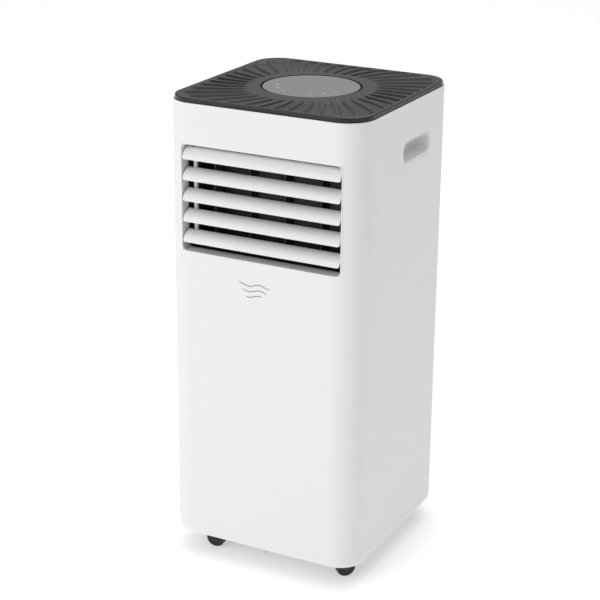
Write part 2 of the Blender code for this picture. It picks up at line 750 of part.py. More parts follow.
def makeUpperBlower():
    top = tunnelTop + 4 * mm
    left = tunnelX[0] - 2 * mm
    window = box((tunnelX[0] + 1 * mm, scrollFront - 5 * mm, tunnelBottom),
                 (tunnelX[1] - 1 * mm, scrollFront + 5 * mm, tunnelTop))
    right = max(u for u, v in scrollOutline(blowerX, blowerZ, blowerRadius, top, left, 2 * mm))
    lid = box((left - 2 * mm, scrollFront, top - 0.5 * mm), (right + 0.1 * mm, scrollRear, top + 1.5 * mm))
    feet = merged([box((x - 8 * mm, scrollFront + 12 * mm, deckZ + 2.5 * mm + seatGap),
                       (x + 8 * mm, scrollRear - 12 * mm, blowerZ - 50 * mm)) for x in (-50 * mm, 42 * mm)])
    makeScroll("blower_scroll", blowerX, blowerZ, blowerRadius, top, left, 54 * mm,
               [("+", lid), ("-", window),
                ("+", cutAway(feet, blowerX, blowerZ, blowerRadius, top, left))],
               paint["lightGrey"])
    makeWheel("blower_wheel", blowerX, blowerZ, blowerRadius, blowerWidth, paint["black"])
    makeMotor("blower_motor", blowerX, blowerZ, paint["steel"])
    makeShaft("blower_shaft", blowerX, blowerZ)


def cutAway(mesh, x, z, radius, top, left):
    """The part of some feet that lies outside a scroll's inner wall."""
    item = bpy.data.objects.new("feet", mesh)
    bpy.context.scene.collection.objects.link(item)
    cut = item.modifiers.new("Cut", "BOOLEAN")
    cut.operation = "DIFFERENCE"
    cut.object = helper(plate([scrollOutline(x, z, radius, top, left, 1 * mm)],
                              scrollFront - 5 * mm, scrollRear + 5 * mm, "Y"))
    kept = evaluated(item)
    bpy.data.objects.remove(item)
    return kept


def makeLowerFan():
    top = ductBottom - seatGap
    left = -exhaustWidth / 2 + 4 * mm
    feet = merged([box((x - 8 * mm, scrollFront + 12 * mm, baseTop + seatGap),
                       (x + 8 * mm, scrollRear - 12 * mm, fanZ - 72 * mm)) for x in (-66 * mm, 22 * mm)])
    makeScroll("fan_scroll", fanX, fanZ, fanRadius, top, left, 56 * mm,
               [("+", cutAway(feet, fanX, fanZ, fanRadius, top, left))], paint["lightGrey"])
    makeWheel("fan_wheel", fanX, fanZ, fanRadius, fanWidth, paint["black"])
    makeMotor("fan_motor", fanX, fanZ, paint["steel"])
    makeShaft("fan_shaft", fanX, fanZ)


def makeExhaust():
    half = exhaustWidth / 2
    t = 2 * mm
    duct = (-half, scrollFront, ductBottom), (half, rearY - 16 * mm - seatGap, ductTop)
    mouth = ((-half + 2 * t, scrollFront + t, ductBottom - t),
             (fanX + fanRadius + 24 * mm, scrollRear - t, ductBottom + 2 * t))
    part("exhaust_duct", box(*duct), paint["lightGrey"],
         ("-", box([v + t for v in duct[0]], [v - t for v in duct[1]])),
         ("-", box(*mouth)),
         ("-", rod((0, rearY - 30 * mm, exhaustZ), (0, rearY, exhaustZ),
                   exhaustRadius - 6 * mm, 24)))
    outer = exhaustRadius + 8 * mm
    bars = []
    for x in (-exhaustRadius / 2, 0, exhaustRadius / 2):
        high = math.sqrt((exhaustRadius + 2 * mm)**2 - x**2)
        bars.append(box((x - 1.2 * mm, rearY - 14 * mm, exhaustZ - high),
                        (x + 1.2 * mm, rearY - 10 * mm, exhaustZ + high)))
    inside = -wall - seatGap
    profile = [(outer, -0.2 * mm), (outer, inside), (outer + 7 * mm, inside),
               (outer + 7 * mm, inside - 3 * mm), (exhaustRadius + 4 * mm, inside - 3 * mm),
               (exhaustRadius + 4 * mm, -16 * mm), (exhaustRadius, -16 * mm),
               (exhaustRadius, -0.2 * mm)]
    part("exhaust_collar", turned(profile, (0, rearY, exhaustZ), "Y", 28), paint["grey"],
         ("+", merged(bars)))


# ---------------------------------------------------------------- coils and compressor
def makeCoil(name, bottom, top, floor):
    half = coilWidth / 2
    rows = 4
    pitch = (top - bottom) / rows
    y = (coilFront + coilRear) / 2
    ends = [box((side * half - 1 * mm, coilFront - 1 * mm, bottom - 2 * mm),
                (side * half + 1 * mm, coilRear + 1 * mm, top + 2 * mm)) for side in (-1, 1)]
    legs = [box((side * half * 0.7 - 5 * mm, coilFront + 2 * mm, floor),
                (side * half * 0.7 + 5 * mm, coilRear - 2 * mm, bottom + 1 * mm)) for side in (-1, 1)]
    bends = []
    for row in range(rows):
        z = bottom + (row + 0.5) * pitch
        points = [(half - 2 * mm, y, z - pitch / 4)]
        points += [(half + 2 * mm + pitch / 4 * math.cos(a), y, z + pitch / 4 * math.sin(a))
                   for a in (-math.pi / 2, 0, math.pi / 2)]
        points.append((half - 2 * mm, y, z + pitch / 4))
        bends.append(tube(points, 3.5 * mm, 0, 2))
    part(name, box((-half, coilFront, bottom), (half, coilRear, top)), paint["aluminium"],
         ("+", merged(ends)), ("+", merged(legs)), ("+", merged(bends)))


def makeCoils():
    makeCoil("evaporator", deckZ + 12 * mm, plateBottom - 26 * mm, deckZ + 2.5 * mm + seatGap)
    makeCoil("condenser", baseTop + 24 * mm, ductBottom - 16 * mm, baseTop + seatGap)


def makeCompressor():
    x, y = compressorX, frontY + compressorSetback
    feet = [(x + footRadius * math.cos(math.radians(a)), y + footRadius * math.sin(math.radians(a)))
            for a in (90, 210, 330)]
    plateZ = baseTop + 19 * mm
    outline = []
    for angle, (u, v) in zip((90, 210, 330), feet):
        outline += arc(u, v, 9 * mm, angle - 60, angle + 60, 6)
    holes = [circle(u, v, 5 * mm, 12) for u, v in feet]
    low = plateZ + 1.5 * mm
    high = low + compressorHeight
    radius = compressorRadius
    body = turned([(0, high), (0.45 * radius, high - 2 * mm), (0.8 * radius, high - 9 * mm),
                   (radius, high - 24 * mm), (radius, low + 14 * mm), (0.84 * radius, low),
                   (0, low)], (x, y, 0), steps=24)
    terminal = box((x - 12 * mm, y - 12 * mm, high - 8 * mm), (x + 8 * mm, y + 8 * mm, high + 8 * mm))
    ax, ay, can, accumulatorTop = makeAccumulator()
    stub = rod((x + 20 * mm, y, high - 10 * mm), (x + 20 * mm, y, high + 2 * mm), 5 * mm, 12)
    strap = box((ax, ay - 4 * mm, low + 90 * mm), (x, ay + 4 * mm, low + 100 * mm))
    elbow = tube([(ax + 14 * mm, ay + 6 * mm, baseTop + 66 * mm),
                  (ax + 30 * mm, ay + 12 * mm, baseTop + 60 * mm),
                  (x - 0.8 * radius, y - 4 * mm, baseTop + 62 * mm)], 4 * mm, 0, 2)
    part("compressor", plate([outline, *holes], plateZ, plateZ + 2.7 * mm), paint["black"],
         ("+", body), ("+", terminal), ("+", stub), ("+", strap), ("+", can), ("+", elbow))
    for index, (u, v) in enumerate(feet):
        top = plateZ + 2.7 * mm
        part(f"compressor_mount_{index + 1}",
             turned([(0, top + 4 * mm), (7.5 * mm, top + 4 * mm), (7.5 * mm, top + seatGap),
                     (4.6 * mm, top + seatGap), (4.6 * mm, plateZ - seatGap),
                     (9 * mm, plateZ - seatGap), (7 * mm, baseTop + 12 * mm),
                     (9 * mm, baseTop + seatGap), (0, baseTop + seatGap)], (u, v, 0), steps=10),
             paint["rubber"])
    return x, y, high, ax, ay, accumulatorTop


def makeAccumulator():
    """The small can beside the compressor, through which the gas comes back."""
    x, y = compressorX - 70 * mm, frontY + 32 * mm
    low = baseTop + 50 * mm
    can = turned([(0, low + 120 * mm), (12 * mm, low + 117 * mm), (20 * mm, low + 106 * mm),
                  (20 * mm, low + 14 * mm), (12 * mm, low + 3 * mm), (0, low)], (x, y, 0), steps=14)
    return x, y, can, low + 120 * mm


def makePipes():
    cx, cy, compressorTop, ax, ay, accumulatorTop = makeCompressor()
    y = (coilFront + coilRear) / 2
    end = coilWidth / 2 + 12 * mm
    lane = sideX - 32 * mm
    side = sideX - 16 * mm
    highLane = ductBottom - 12 * mm
    part("discharge_pipe", tube([
        (cx + 20 * mm, cy, compressorTop + 4 * mm),
        (cx + 20 * mm, cy, compressorTop + 10 * mm),
        (cx + 28 * mm, cy + 20 * mm, highLane),
        (lane, 0, highLane),
        (lane, y - 45 * mm, highLane),
        (lane + 3 * mm, y - 20 * mm, highLane - 10 * mm),
        (end + 6 * mm, y - 16 * mm, highLane - 30 * mm)], 4 * mm), paint["copper"])
    part("suction_pipe", tube([
        (ax, ay, accumulatorTop + seatGap),
        (ax, ay + 3 * mm, accumulatorTop + 20 * mm),
        (ax, ay + 30 * mm, accumulatorTop + 34 * mm),
        (ax + 26 * mm, -14 * mm, accumulatorTop + 34 * mm),
        (lane, -8 * mm, accumulatorTop + 34 * mm),
        (side, 20 * mm, accumulatorTop + 48 * mm),
        (side, coilFront - 24 * mm, ductBottom + 40 * mm),
        (side, coilFront - 22 * mm, deckZ + 10 * mm),
        (side - 2 * mm, coilFront - 16 * mm, deckZ + 45 * mm),
        (side - 6 * mm, y - 16 * mm, deckZ + 60 * mm)], 5 * mm), paint["copper"])


def makeSlinger():
    x, z = sideX - 46 * mm, baseTop + 42 * mm
    wheelY = coilFront - 9 * mm
    paddles = []
    for i in range(8):
        paddle = box((-2 * mm, wheelY - 4 * mm, 22 * mm), (2 * mm, wheelY + 4 * mm, 34 * mm))
        paddle.transform(Matrix.Translation((x, 0, z)) @ Matrix.Rotation(math.pi * i / 4, 4, "Y"))
        paddles.append(paddle)
    part("slinger_wheel", rod((x, wheelY - 1.5 * mm, z), (x, wheelY + 1.5 * mm, z), 30 * mm, 20),
         paint["lightGrey"],
         ("+", merged(paddles)),
         ("+", rod((x, wheelY - 16 * mm, z), (x, wheelY + 3 * mm, z), 3 * mm, 12)),
         origin=(x, wheelY, z))
    back = wheelY - 8 * mm
    part("slinger_motor", rod((x, back - 36 * mm, z), (x, back, z), 18 * mm, 24), paint["steel"],
         ("-", rod((x, back - 12 * mm, z), (x, back + 5 * mm, z), 3 * mm + slipGap, 12)),
         ("+", box((x - 14 * mm, back - 30 * mm, baseTop + seatGap),
                   (x + 14 * mm, back - 6 * mm, z - 12 * mm))))


# ---------------------------------------------------------------- frames and electrics
def makeFrames():
    for name, side in (("side_frame_left", -1), ("side_frame_right", 1)):
        face = sorted((side * (sideX - 7.6 * mm), side * (sideX - 6.4 * mm)))
        foot = sorted((side * (sideX - 20 * mm), side * (sideX - 6.4 * mm)))
        low, high = baseTop + seatGap, deckZ - seatGap
        y0, y1 = -50 * mm, -6 * mm
        part(name, box((face[0], y0, low), (face[1], y1, high)), paint["steel"],
             ("+", box((foot[0], y0 + 1 * mm, low + 0.1 * mm),
                       (foot[1] - 0.1 * mm, y1 - 1 * mm, low + 1.3 * mm))),
             ("+", box((foot[0], y0 + 1 * mm, high - 1.3 * mm),
                       (foot[1] - 0.1 * mm, y1 - 1 * mm, high - 0.1 * mm))))


def makeElectrics():
    t = 2 * mm
    low = Vector((50 * mm - sideX, frontY + 14 * mm, deckZ - 96 * mm))
    high = Vector((sideX - 90 * mm, frontY + 82 * mm, deckZ - seatGap))
    thick = Vector((t, t, t))
    inside = low + thick, high - thick
    part("electronics_box", box(low, high), paint["grey"],
         ("-", box((inside[0].x, low.y - t, inside[0].z), inside[1])))
    front = inside[1].y - 8.5 * mm
    edge = 4 * mm
    chips = []
    for x, z, width, depth, height in (
            (-70 * mm, -50 * mm, 26 * mm, 24 * mm, 30 * mm),
            (-30 * mm, -32 * mm, 18 * mm, 16 * mm, 16 * mm),
            (-30 * mm, -66 * mm, 18 * mm, 16 * mm, 16 * mm),
            (20 * mm, -46 * mm, 34 * mm, 4 * mm, 20 * mm)):
        chips.append(box((x - width / 2, front - depth, deckZ + z - height / 2),
                         (x + width / 2, front, deckZ + z + height / 2)))
    part("main_board", box((inside[0].x + edge, front - 0.5 * mm, inside[0].z + edge),
                           (inside[1].x - edge, front + 1.5 * mm, inside[1].z - edge)),
         paint["board"], ("+", merged(chips)))
    x, y = sideX - 58 * mm, frontY + 46 * mm
    part("capacitor", rod((x, y, deckZ - 72 * mm), (x, y, deckZ - seatGap), 20 * mm, 24),
         paint["aluminium"], ("+", rod((x, y, deckZ - 82 * mm), (x, y, deckZ - 70 * mm), 8 * mm, 12)))


# ---------------------------------------------------------------- rear fittings
def makeFilter():
    edge = slipGap
    half = filterHalf - edge
    low, high = filterBottom + edge, filterTop - edge
    frameDepth = 9 * mm
    t = 3 * mm
    part("filter_frame", box((-half, rearY - wall - frameDepth, low), (half, rearY - 0.1 * mm, high)),
         paint["white"],
         ("-", box((-half + t, rearY - wall - 2 * frameDepth, low + t),
                   (half - t, rearY - wall, high - t))),
         ("-", grilleSlots(half - 6 * mm, low + 4 * mm, high - 14 * mm, 18 * mm, 8 * mm)),
         ("-", box((-22 * mm, rearY - 1.4 * mm, high - 9 * mm),
                   (22 * mm, rearY + wall, high - 3 * mm))))
    gap = t + slipGap
    part("filter_mesh", box((-half + gap, rearY - wall - 4 * mm, low + gap),
                            (half - gap, rearY - wall - 2.6 * mm, high - gap)), paint["mesh"])


def makePlugs():
    inside = wall + slipGap
    for name, place in (("drain_plug_upper", upperPlug), ("drain_plug_lower", lowerPlug)):
        part(name, turned([(0, -0.2 * mm), (plugRadius, -0.2 * mm), (plugRadius, -inside + 0.1 * mm),
                           (4.5 * mm, -inside + 0.1 * mm), (4.5 * mm, -inside - 7 * mm),
                           (0, -inside - 7 * mm)], place, "Y", 12), paint["rubber"], origin=place)
    flange = plugRadius + 3 * mm
    part("cord_gland", turned([(plugRadius, -0.2 * mm), (plugRadius, -wall - seatGap),
                               (flange, -wall - seatGap), (flange, -wall - 3 * mm),
                               (4 * mm, -wall - 3 * mm), (4 * mm, -0.2 * mm)],
                              glandPlace, "Y", 12), paint["rubber"])


# ---------------------------------------------------------------- casters
def casterPlaces():
    x, y = sideX - casterInset.x, bodyDepth / 2 - casterInset.y
    return {"front_left": (-x, -y), "front_right": (x, -y), "rear_left": (-x, y), "rear_right": (x, y)}


def makeCasters():
    trail, axle = casterTrail, wheelRadius
    crown = baseFloor - 1.2 * mm
    inner = wheelWidth / 2 + 0.8 * mm
    sheet = 1.8 * mm
    outer = inner + sheet
    side = [(-9 * mm, crown - 1 * mm), (trail - 2 * mm, crown - 1 * mm), (trail + 5 * mm, axle + 3 * mm),
            *arc(trail, axle, 4.5 * mm, 20, -160, 3), (-7 * mm, crown - 8 * mm)]
    cheeks = [plate([side], *sorted((sign * inner, sign * outer)), "Y") for sign in (-1, 1)]
    bridge = box((-8 * mm, sheet / 2 - outer, crown - 2.8 * mm),
                 (trail - 3 * mm, outer - sheet / 2, crown - 0.4 * mm))
    stem = rod((0, 0, crown - 1 * mm), (0, 0, baseFloor + 12 * mm), 4 * mm, 8)
    pin = rod((trail, -outer - 0.8 * mm, axle), (trail, outer + 0.8 * mm, axle), 2 * mm, 8)
    fork = part("caster_fork_front_left", rod((0, 0, crown - 3 * mm), (0, 0, crown), 11 * mm, 12),
                paint["black"], ("+", bridge), ("+", merged(cheeks)), ("+", stem), ("+", pin))
    half = wheelWidth / 2
    bore = 2 * mm + slipGap
    tread = [(wheelRadius - 1 * mm, half), (wheelRadius, half - 1.5 * mm),
             (wheelRadius, 1.5 * mm - half), (wheelRadius - 1 * mm, -half),
             (bore, -half), (bore, half)]
    wheel = part("caster_wheel_front_left", turned(tread, (0, 0, 0), "Y", 16), paint["black"])
    for name, (x, y) in casterPlaces().items():
        turn = math.radians(casterAngles[name])
        centre = (x + trail * math.cos(turn), y + trail * math.sin(turn), axle)
        if name == "front_left":
            fork.location, fork.rotation_euler = (x, y, 0), (0, 0, turn)
            wheel.location, wheel.rotation_euler = centre, (0, 0, turn)
        else:
            copy(fork, f"caster_fork_{name}", (x, y, 0), turn)
            copy(wheel, f"caster_wheel_{name}", centre, turn)


clearScene()
parts = newCollection("portable_air_conditioner")
helpers = newCollection("cutters")
paint = {
    "white": finish("white_plastic", (0.82, 0.82, 0.82), 0.4),
    "anthracite": finish("anthracite_plastic", (0.05, 0.052, 0.055), 0.35),
    "disc": finish("grey_glass", (0.28, 0.29, 0.30), 0.1),
    "grey": finish("grey_plastic", (0.20, 0.20, 0.21), 0.5),
    "lightGrey": finish("light_grey_plastic", (0.55, 0.55, 0.56), 0.5),
    "black": finish("black_plastic", (0.02, 0.02, 0.022), 0.45),
    "rubber": finish("black_rubber", (0.03, 0.03, 0.03), 0.8),
    "board": finish("circuit_board", (0.02, 0.16, 0.07), 0.4),
    "steel": finish("galvanised_steel", (0.55, 0.56, 0.57), 0.35, 1.0),
    "aluminium": finish("aluminium", (0.75, 0.76, 0.78), 0.3, 1.0),
    "copper": finish("copper", (0.75, 0.36, 0.22), 0.25, 1.0),
    "mesh": finish("filter_cloth", (0.12, 0.12, 0.13), 0.9),
}
makeFrontPanel()
makeRearShell()
makeHandles()
makeBaseTray()
makeDripTray()
makeTopCover()
makeControls()
makeLouvres()
makeLouvreLink()
makeLouvreMotor()
makeOutletDuct()
makeVanes()
makeUpperBlower()
makeLowerFan()
makeExhaust()
makeCoils()
makePipes()
makeSlinger()
makeFrames()
makeElectrics()
makeFilter()
makePlugs()
makeCasters()
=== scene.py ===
import json
import math

import bmesh
import bpy
from mathutils import Matrix, Vector


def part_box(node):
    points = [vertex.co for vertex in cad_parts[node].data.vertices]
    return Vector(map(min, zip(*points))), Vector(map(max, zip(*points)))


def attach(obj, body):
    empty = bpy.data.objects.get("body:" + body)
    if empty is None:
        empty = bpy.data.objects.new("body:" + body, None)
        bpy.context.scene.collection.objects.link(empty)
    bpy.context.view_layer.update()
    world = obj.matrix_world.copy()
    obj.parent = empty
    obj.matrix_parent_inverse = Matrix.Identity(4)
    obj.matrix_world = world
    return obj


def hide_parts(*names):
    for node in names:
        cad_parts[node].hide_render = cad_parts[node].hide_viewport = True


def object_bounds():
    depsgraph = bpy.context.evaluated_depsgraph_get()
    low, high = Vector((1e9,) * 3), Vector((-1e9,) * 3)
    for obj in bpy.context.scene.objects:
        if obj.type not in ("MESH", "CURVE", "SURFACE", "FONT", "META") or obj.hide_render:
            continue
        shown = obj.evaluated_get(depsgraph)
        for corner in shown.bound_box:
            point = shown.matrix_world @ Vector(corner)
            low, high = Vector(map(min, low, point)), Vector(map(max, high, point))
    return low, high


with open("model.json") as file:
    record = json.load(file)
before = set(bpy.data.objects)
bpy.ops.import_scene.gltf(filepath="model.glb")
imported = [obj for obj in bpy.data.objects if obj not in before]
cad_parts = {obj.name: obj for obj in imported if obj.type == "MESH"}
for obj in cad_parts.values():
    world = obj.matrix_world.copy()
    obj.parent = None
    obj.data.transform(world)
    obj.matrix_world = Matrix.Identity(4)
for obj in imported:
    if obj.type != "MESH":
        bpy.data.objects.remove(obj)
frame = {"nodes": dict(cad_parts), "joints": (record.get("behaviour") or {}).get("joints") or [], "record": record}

cadLow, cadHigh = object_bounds()
mm = 0.001
spare = 5 * mm  # how far a cutter runs past the surface that it cuts
planes = {  # how an outline's two directions and its thickness lie in space
    "X": Matrix(((0, 0, 1, 0), (1, 0, 0, 0), (0, 1, 0, 0), (0, 0, 0, 1))),
    "Y": Matrix(((1, 0, 0, 0), (0, 0, 1, 0), (0, 1, 0, 0), (0, 0, 0, 1))),
    "Z": Matrix.Identity(4),
}
bodyOf = {node: body for body, nodes in frame["record"]["behaviour"]["bodies"].items() for node in nodes}
slotOf = {row["node"]: row["material_slot"] for row in frame["record"]["subparts"]}
pivots = {joint["child"]: Vector(joint["pos_m"]) for joint in frame["joints"] if "pos_m" in joint}
louvres = [f"louvre_{i}" for i in range(1, 6)]


# shapes, as plain meshes
def toMesh(shape):
    bmesh.ops.recalc_face_normals(shape, faces=shape.faces)
    mesh = bpy.data.meshes.new("shape")
    shape.to_mesh(mesh)
    shape.free()
    return mesh


def shapeOf(mesh, merge=None, flat=None):  # an editable copy, with doubled points and flat edges gone
    shape = bmesh.new()
    shape.from_mesh(mesh)
    if merge:
        bmesh.ops.remove_doubles(shape, verts=shape.verts, dist=merge)
    if flat:
        bmesh.ops.dissolve_limit(shape, angle_limit=flat, verts=shape.verts, edges=shape.edges)
    return shape


def boxMesh(low, high):
    low, high = Vector(low), Vector(high)
    shape = bmesh.new()
    size = Matrix.Diagonal((*(high - low), 1))
    bmesh.ops.create_cube(shape, size=1, matrix=Matrix.Translation((low + high) / 2) @ size)
    return toMesh(shape)


def rodMesh(start, end, radius, sides=24):
    start, end = Vector(start), Vector(end)
    turn = (end - start).to_track_quat("Z", "Y").to_matrix().to_4x4()
    shape = bmesh.new()
    bmesh.ops.create_cone(shape, cap_ends=True, segments=sides, radius1=radius, radius2=radius,
                          depth=(end - start).length, matrix=Matrix.Translation((start + end) / 2) @ turn)
    return toMesh(shape)


def together(meshes):
    shape = bmesh.new()
    for mesh in meshes:
        shape.from_mesh(mesh)
    return toMesh(shape)


def placed(mesh, matrix):
    other = mesh.copy()
    other.transform(matrix)
    return other


def evaluatedMesh(item):
    bpy.context.view_layer.update()
    graph = bpy.context.evaluated_depsgraph_get()
    return bpy.data.meshes.new_from_object(item.evaluated_get(graph), depsgraph=graph)


def temporary(data):
    item = bpy.data.objects.new("temporary", data)
    bpy.context.scene.collection.objects.link(item)
    return item


def takeMesh(item):
    mesh = evaluatedMesh(item)
    bpy.data.objects.remove(item)
    return mesh


def arcPoints(x, y, radius, start, end, steps):
    turns = [math.radians(start + (end - start) * i / steps) for i in range(steps + 1)]
    return [(x + radius * math.cos(turn), y + radius * math.sin(turn)) for turn in turns]


def circlePoints(x, y, radius, steps):
    return arcPoints(x, y, radius, 0, 360, steps)[:-1]


def polar(radius, turn):
    return radius * math.cos(turn), radius * math.sin(turn)


def inMm(points):
    return [(u * mm, v * mm) for u, v in points]


def roundedOutline(width, depth, radius, x=0, y=0, steps=10):
    a, b = width / 2 - radius, depth / 2 - radius
    return [point for i, (u, v) in enumerate(((a, b), (-a, b), (-a, -b), (a, -b)))
            for point in arcPoints(x + u, y + v, radius, 90 * i, 90 * i + 90, steps)]


def curveShape(outlines, closed, **settings):
    curve = bpy.data.curves.new("outline", "CURVE")
    for name, value in settings.items():
        setattr(curve, name, value)
    for outline in outlines:
        spline = curve.splines.new("POLY")
        spline.points.add(len(outline) - 1)
        for point, place in zip(spline.points, outline):
            point.co = (*place, 1)
        spline.use_cyclic_u = closed
    return shapeOf(takeMesh(temporary(curve)), merge=1e-7)


def slab(outlines, low, high, axis="Z"):  # flat outlines, the inner ones being holes, made thick
    shape = curveShape([[(u, v, 0) for u, v in outline] for outline in outlines], True, dimensions="2D",
                       fill_mode="BOTH", extrude=(high - low) / 2)
    bmesh.ops.transform(shape, matrix=planes[axis] @ Matrix.Translation((0, 0, (low + high) / 2)),
                        verts=shape.verts)
    bmesh.ops.dissolve_limit(shape, angle_limit=0.001, verts=shape.verts, edges=shape.edges)
    return toMesh(shape)


def tubeMesh(points, radius, sides=12):
    return toMesh(curveShape([points], False, dimensions="3D", bevel_depth=radius,
                             bevel_resolution=sides // 4 - 1, use_fill_caps=True))


def lathe(profile, centre, axis="Z", steps=72):  # a profile of (radius, height) points
    shape = bmesh.new()
    rings = [[shape.verts.new((*polar(radius, 2 * math.pi * i / steps), height))
              for i in range(steps if radius > 0 else 1)] for radius, height in profile]
    closed = all(radius > 0 for radius, height in profile)
    for lower, upper in list(zip(rings, rings[1:])) + ([(rings[-1], rings[0])] if closed else []):
        for i in range(steps):
            corners = [lower[i % len(lower)], lower[(i + 1) % len(lower)],
                       upper[(i + 1) % len(upper)], upper[i % len(upper)]]
            shape.faces.new(list(dict.fromkeys(corners)))
    bmesh.ops.transform(shape, matrix=Matrix.Translation(centre) @ planes[axis], verts=shape.verts)
    return toMesh(shape)


def lofted(sections):  # a solid through rings of points, closed at the first and the last
    shape = bmesh.new()
    rings = [[shape.verts.new(place) for place in section] for section in sections]
    for ring, following in zip(rings, rings[1:]):
        for i in range(len(ring)):
            j = (i + 1) % len(ring)
            shape.faces.new((ring[i], ring[j], following[j], following[i]))
    shape.faces.new(rings[0])
    shape.faces.new(rings[-1])
    return toMesh(shape)


def carved(mesh, *steps, solver="EXACT"):  # steps of ("+", mesh) and ("-", mesh)
    item = temporary(mesh)
    others = []
    for sign, other in steps:
        modifier = item.modifiers.new("carve", "BOOLEAN")
        modifier.operation = "UNION" if sign == "+" else "DIFFERENCE"
        modifier.solver = solver
        modifier.object = temporary(other)
        others.append(modifier.object)
    result = takeMesh(item)
    for other in others:
        bpy.data.objects.remove(other)
    return toMesh(shapeOf(result, merge=2e-6, flat=0.001))


def softened(mesh, width, segments=2, angle=32, clamp=True):  # rounds the sharp edges
    item = temporary(mesh)
    bevel = item.modifiers.new("soften", "BEVEL")
    bevel.width = width
    bevel.segments = segments
    bevel.limit_method = "ANGLE"
    bevel.angle_limit = math.radians(angle)
    bevel.use_clamp_overlap = clamp
    bevel.miter_outer = "MITER_ARC"
    return takeMesh(item)


# node trees
def wire(node, sources):  # sets a node's sockets, or links them to the outputs of other nodes
    for socket, source in sources.items():
        for one in source if isinstance(source, list) else [source]:
            if isinstance(one, bpy.types.NodeSocket):
                node.id_data.links.new(one, node.inputs[socket])
            else:
                node.inputs[socket].default_value = one


def addNode(tree, kind, sources, **settings):
    node = tree.nodes.new(kind)
    for name, value in settings.items():
        setattr(node, name, value)
    wire(node, sources)
    return node


def newTree(name, family, inputs, outputs):  # with makers of its nodes, and of its last links
    tree = bpy.data.node_groups.new(name, family + "NodeTree")
    for label, socketType, *value in inputs:
        socket = tree.interface.new_socket(name=label, in_out="INPUT", socket_type="NodeSocket" + socketType)
        if value:
            socket.default_value = value[0]
    for label, socketType in outputs:
        tree.interface.new_socket(name=label, in_out="OUTPUT", socket_type="NodeSocket" + socketType)
    given = tree.nodes.new("NodeGroupInput").outputs
    last = tree.nodes.new("NodeGroupOutput")

    def add(kind, sources=None, output=0, **settings):
        return addNode(tree, kind if "Node" in kind else family + "Node" + kind, sources or {},
                       **settings).outputs[output]

    def calc(operation, *values, **settings):
        return add("ShaderNodeMath", dict(enumerate(values)), operation=operation, **settings)

    def give(**results):
        wire(last, results)

    return tree, given, add, calc, give


def growTree(name, *inputs):  # a geometry tree from a mesh to a plain one with a material
    tree, given, add, calc, give = newTree(
        name, "Geometry", [("Geometry", "Geometry"), *inputs, ("Material", "Material")],
        [("Geometry", "Geometry")])

    def giveReal(geometry):
        real = add("RealizeInstances", {"Geometry": geometry})
        give(Geometry=add("SetMaterial", {"Geometry": real, "Material": given["Material"]}))

    return tree, given, add, calc, giveReal


def grown(item, tree, **values):  # the plain mesh that a geometry tree makes of an object
    modifier = item.modifiers.new("grow", "NODES")
    modifier.node_group = tree
    for socket in tree.interface.items_tree:
        if socket.item_type == "SOCKET" and socket.in_out == "INPUT" and socket.name in values:
            modifier[socket.identifier] = values[socket.name]
    item.update_tag()
    mesh = evaluatedMesh(item)
    item.modifiers.remove(modifier)
    bpy.data.objects.remove(item)
    return mesh


def emptyMesh():
    return temporary(bpy.data.meshes.new("empty"))


# finished pieces
def piece(name, mesh, material, node=None, slotName=None, angle=35):  # rides its CAD node's body
    mesh.shade_smooth()
    mesh.set_sharp_from_angle(angle=math.radians(angle))
    item = temporary(mesh)
    weighed = item.modifiers.new("weigh", "WEIGHTED_NORMAL")  # large flat faces stay flat beside roundings
    weighed.keep_sharp = True
    mesh = takeMesh(item)
    mesh.materials.clear()
    mesh.materials.append(material)
    mesh.name = name
    item = bpy.data.objects.new(name, mesh)
    bpy.context.scene.collection.objects.link(item)
    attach(item, bodyOf[node] if node else "cabinet")
    slotName or slotOf[node]
    if node:
        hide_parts(node)


def refined(node, material, width, segments=2):  # the CAD node itself, with its edges rounded
    shape = shapeOf(frame["nodes"][node].data, merge=5e-6, flat=math.radians(0.1))
    mesh = bpy.data.meshes.new(node)
    shape.to_mesh(mesh)
    shape.free()
    if "custom_normal" in mesh.attributes:
        mesh.attributes.remove(mesh.attributes["custom_normal"])
    piece(node + "_fine", softened(mesh, width, segments), material, node)


print("stage: shader groups")
surfaceOutputs = [("Roughness", "Float"), ("Height", "Float"), ("Drift", "Float")]
mouldGrain, given, add, calc, give = newTree(
    "mouldGrain", "Shader",
    [("Roughness", "Float", 0.4), ("Roughness Spread", "Float", 0.05), ("Grain Scale", "Float", 1800.0),
     ("Drift Scale", "Float", 14.0)], surfaceOutputs)
where = add("TexCoord", output="Object")
fine = add("TexNoise", {"Vector": where, "Scale": given["Grain Scale"], "Detail": 3.0, "Roughness": 0.6})
broad = add("TexNoise", {"Vector": where, "Scale": given["Drift Scale"], "Detail": 4.0})
give(Height=fine, Drift=broad, Roughness=calc("MULTIPLY_ADD", calc("SUBTRACT", broad, 0.5),
                                              given["Roughness Spread"], given["Roughness"]))

drawnMetal, given, add, calc, give = newTree(
    "drawnMetal", "Shader",
    [("Stretch", "Vector", (1.0, 60.0, 60.0)), ("Scale", "Float", 30.0), ("Roughness", "Float", 0.3),
     ("Roughness Spread", "Float", 0.2)], surfaceOutputs)
stretched = add("VectorMath", {0: add("TexCoord", output="Object"), 1: given["Stretch"]},
                operation="MULTIPLY")
drawn = add("TexNoise", {"Vector": stretched, "Scale": given["Scale"], "Detail": 6.0})
give(Height=drawn, Drift=drawn, Roughness=calc("MULTIPLY_ADD", calc("SUBTRACT", drawn, 0.5),
                                               given["Roughness Spread"], given["Roughness"]))

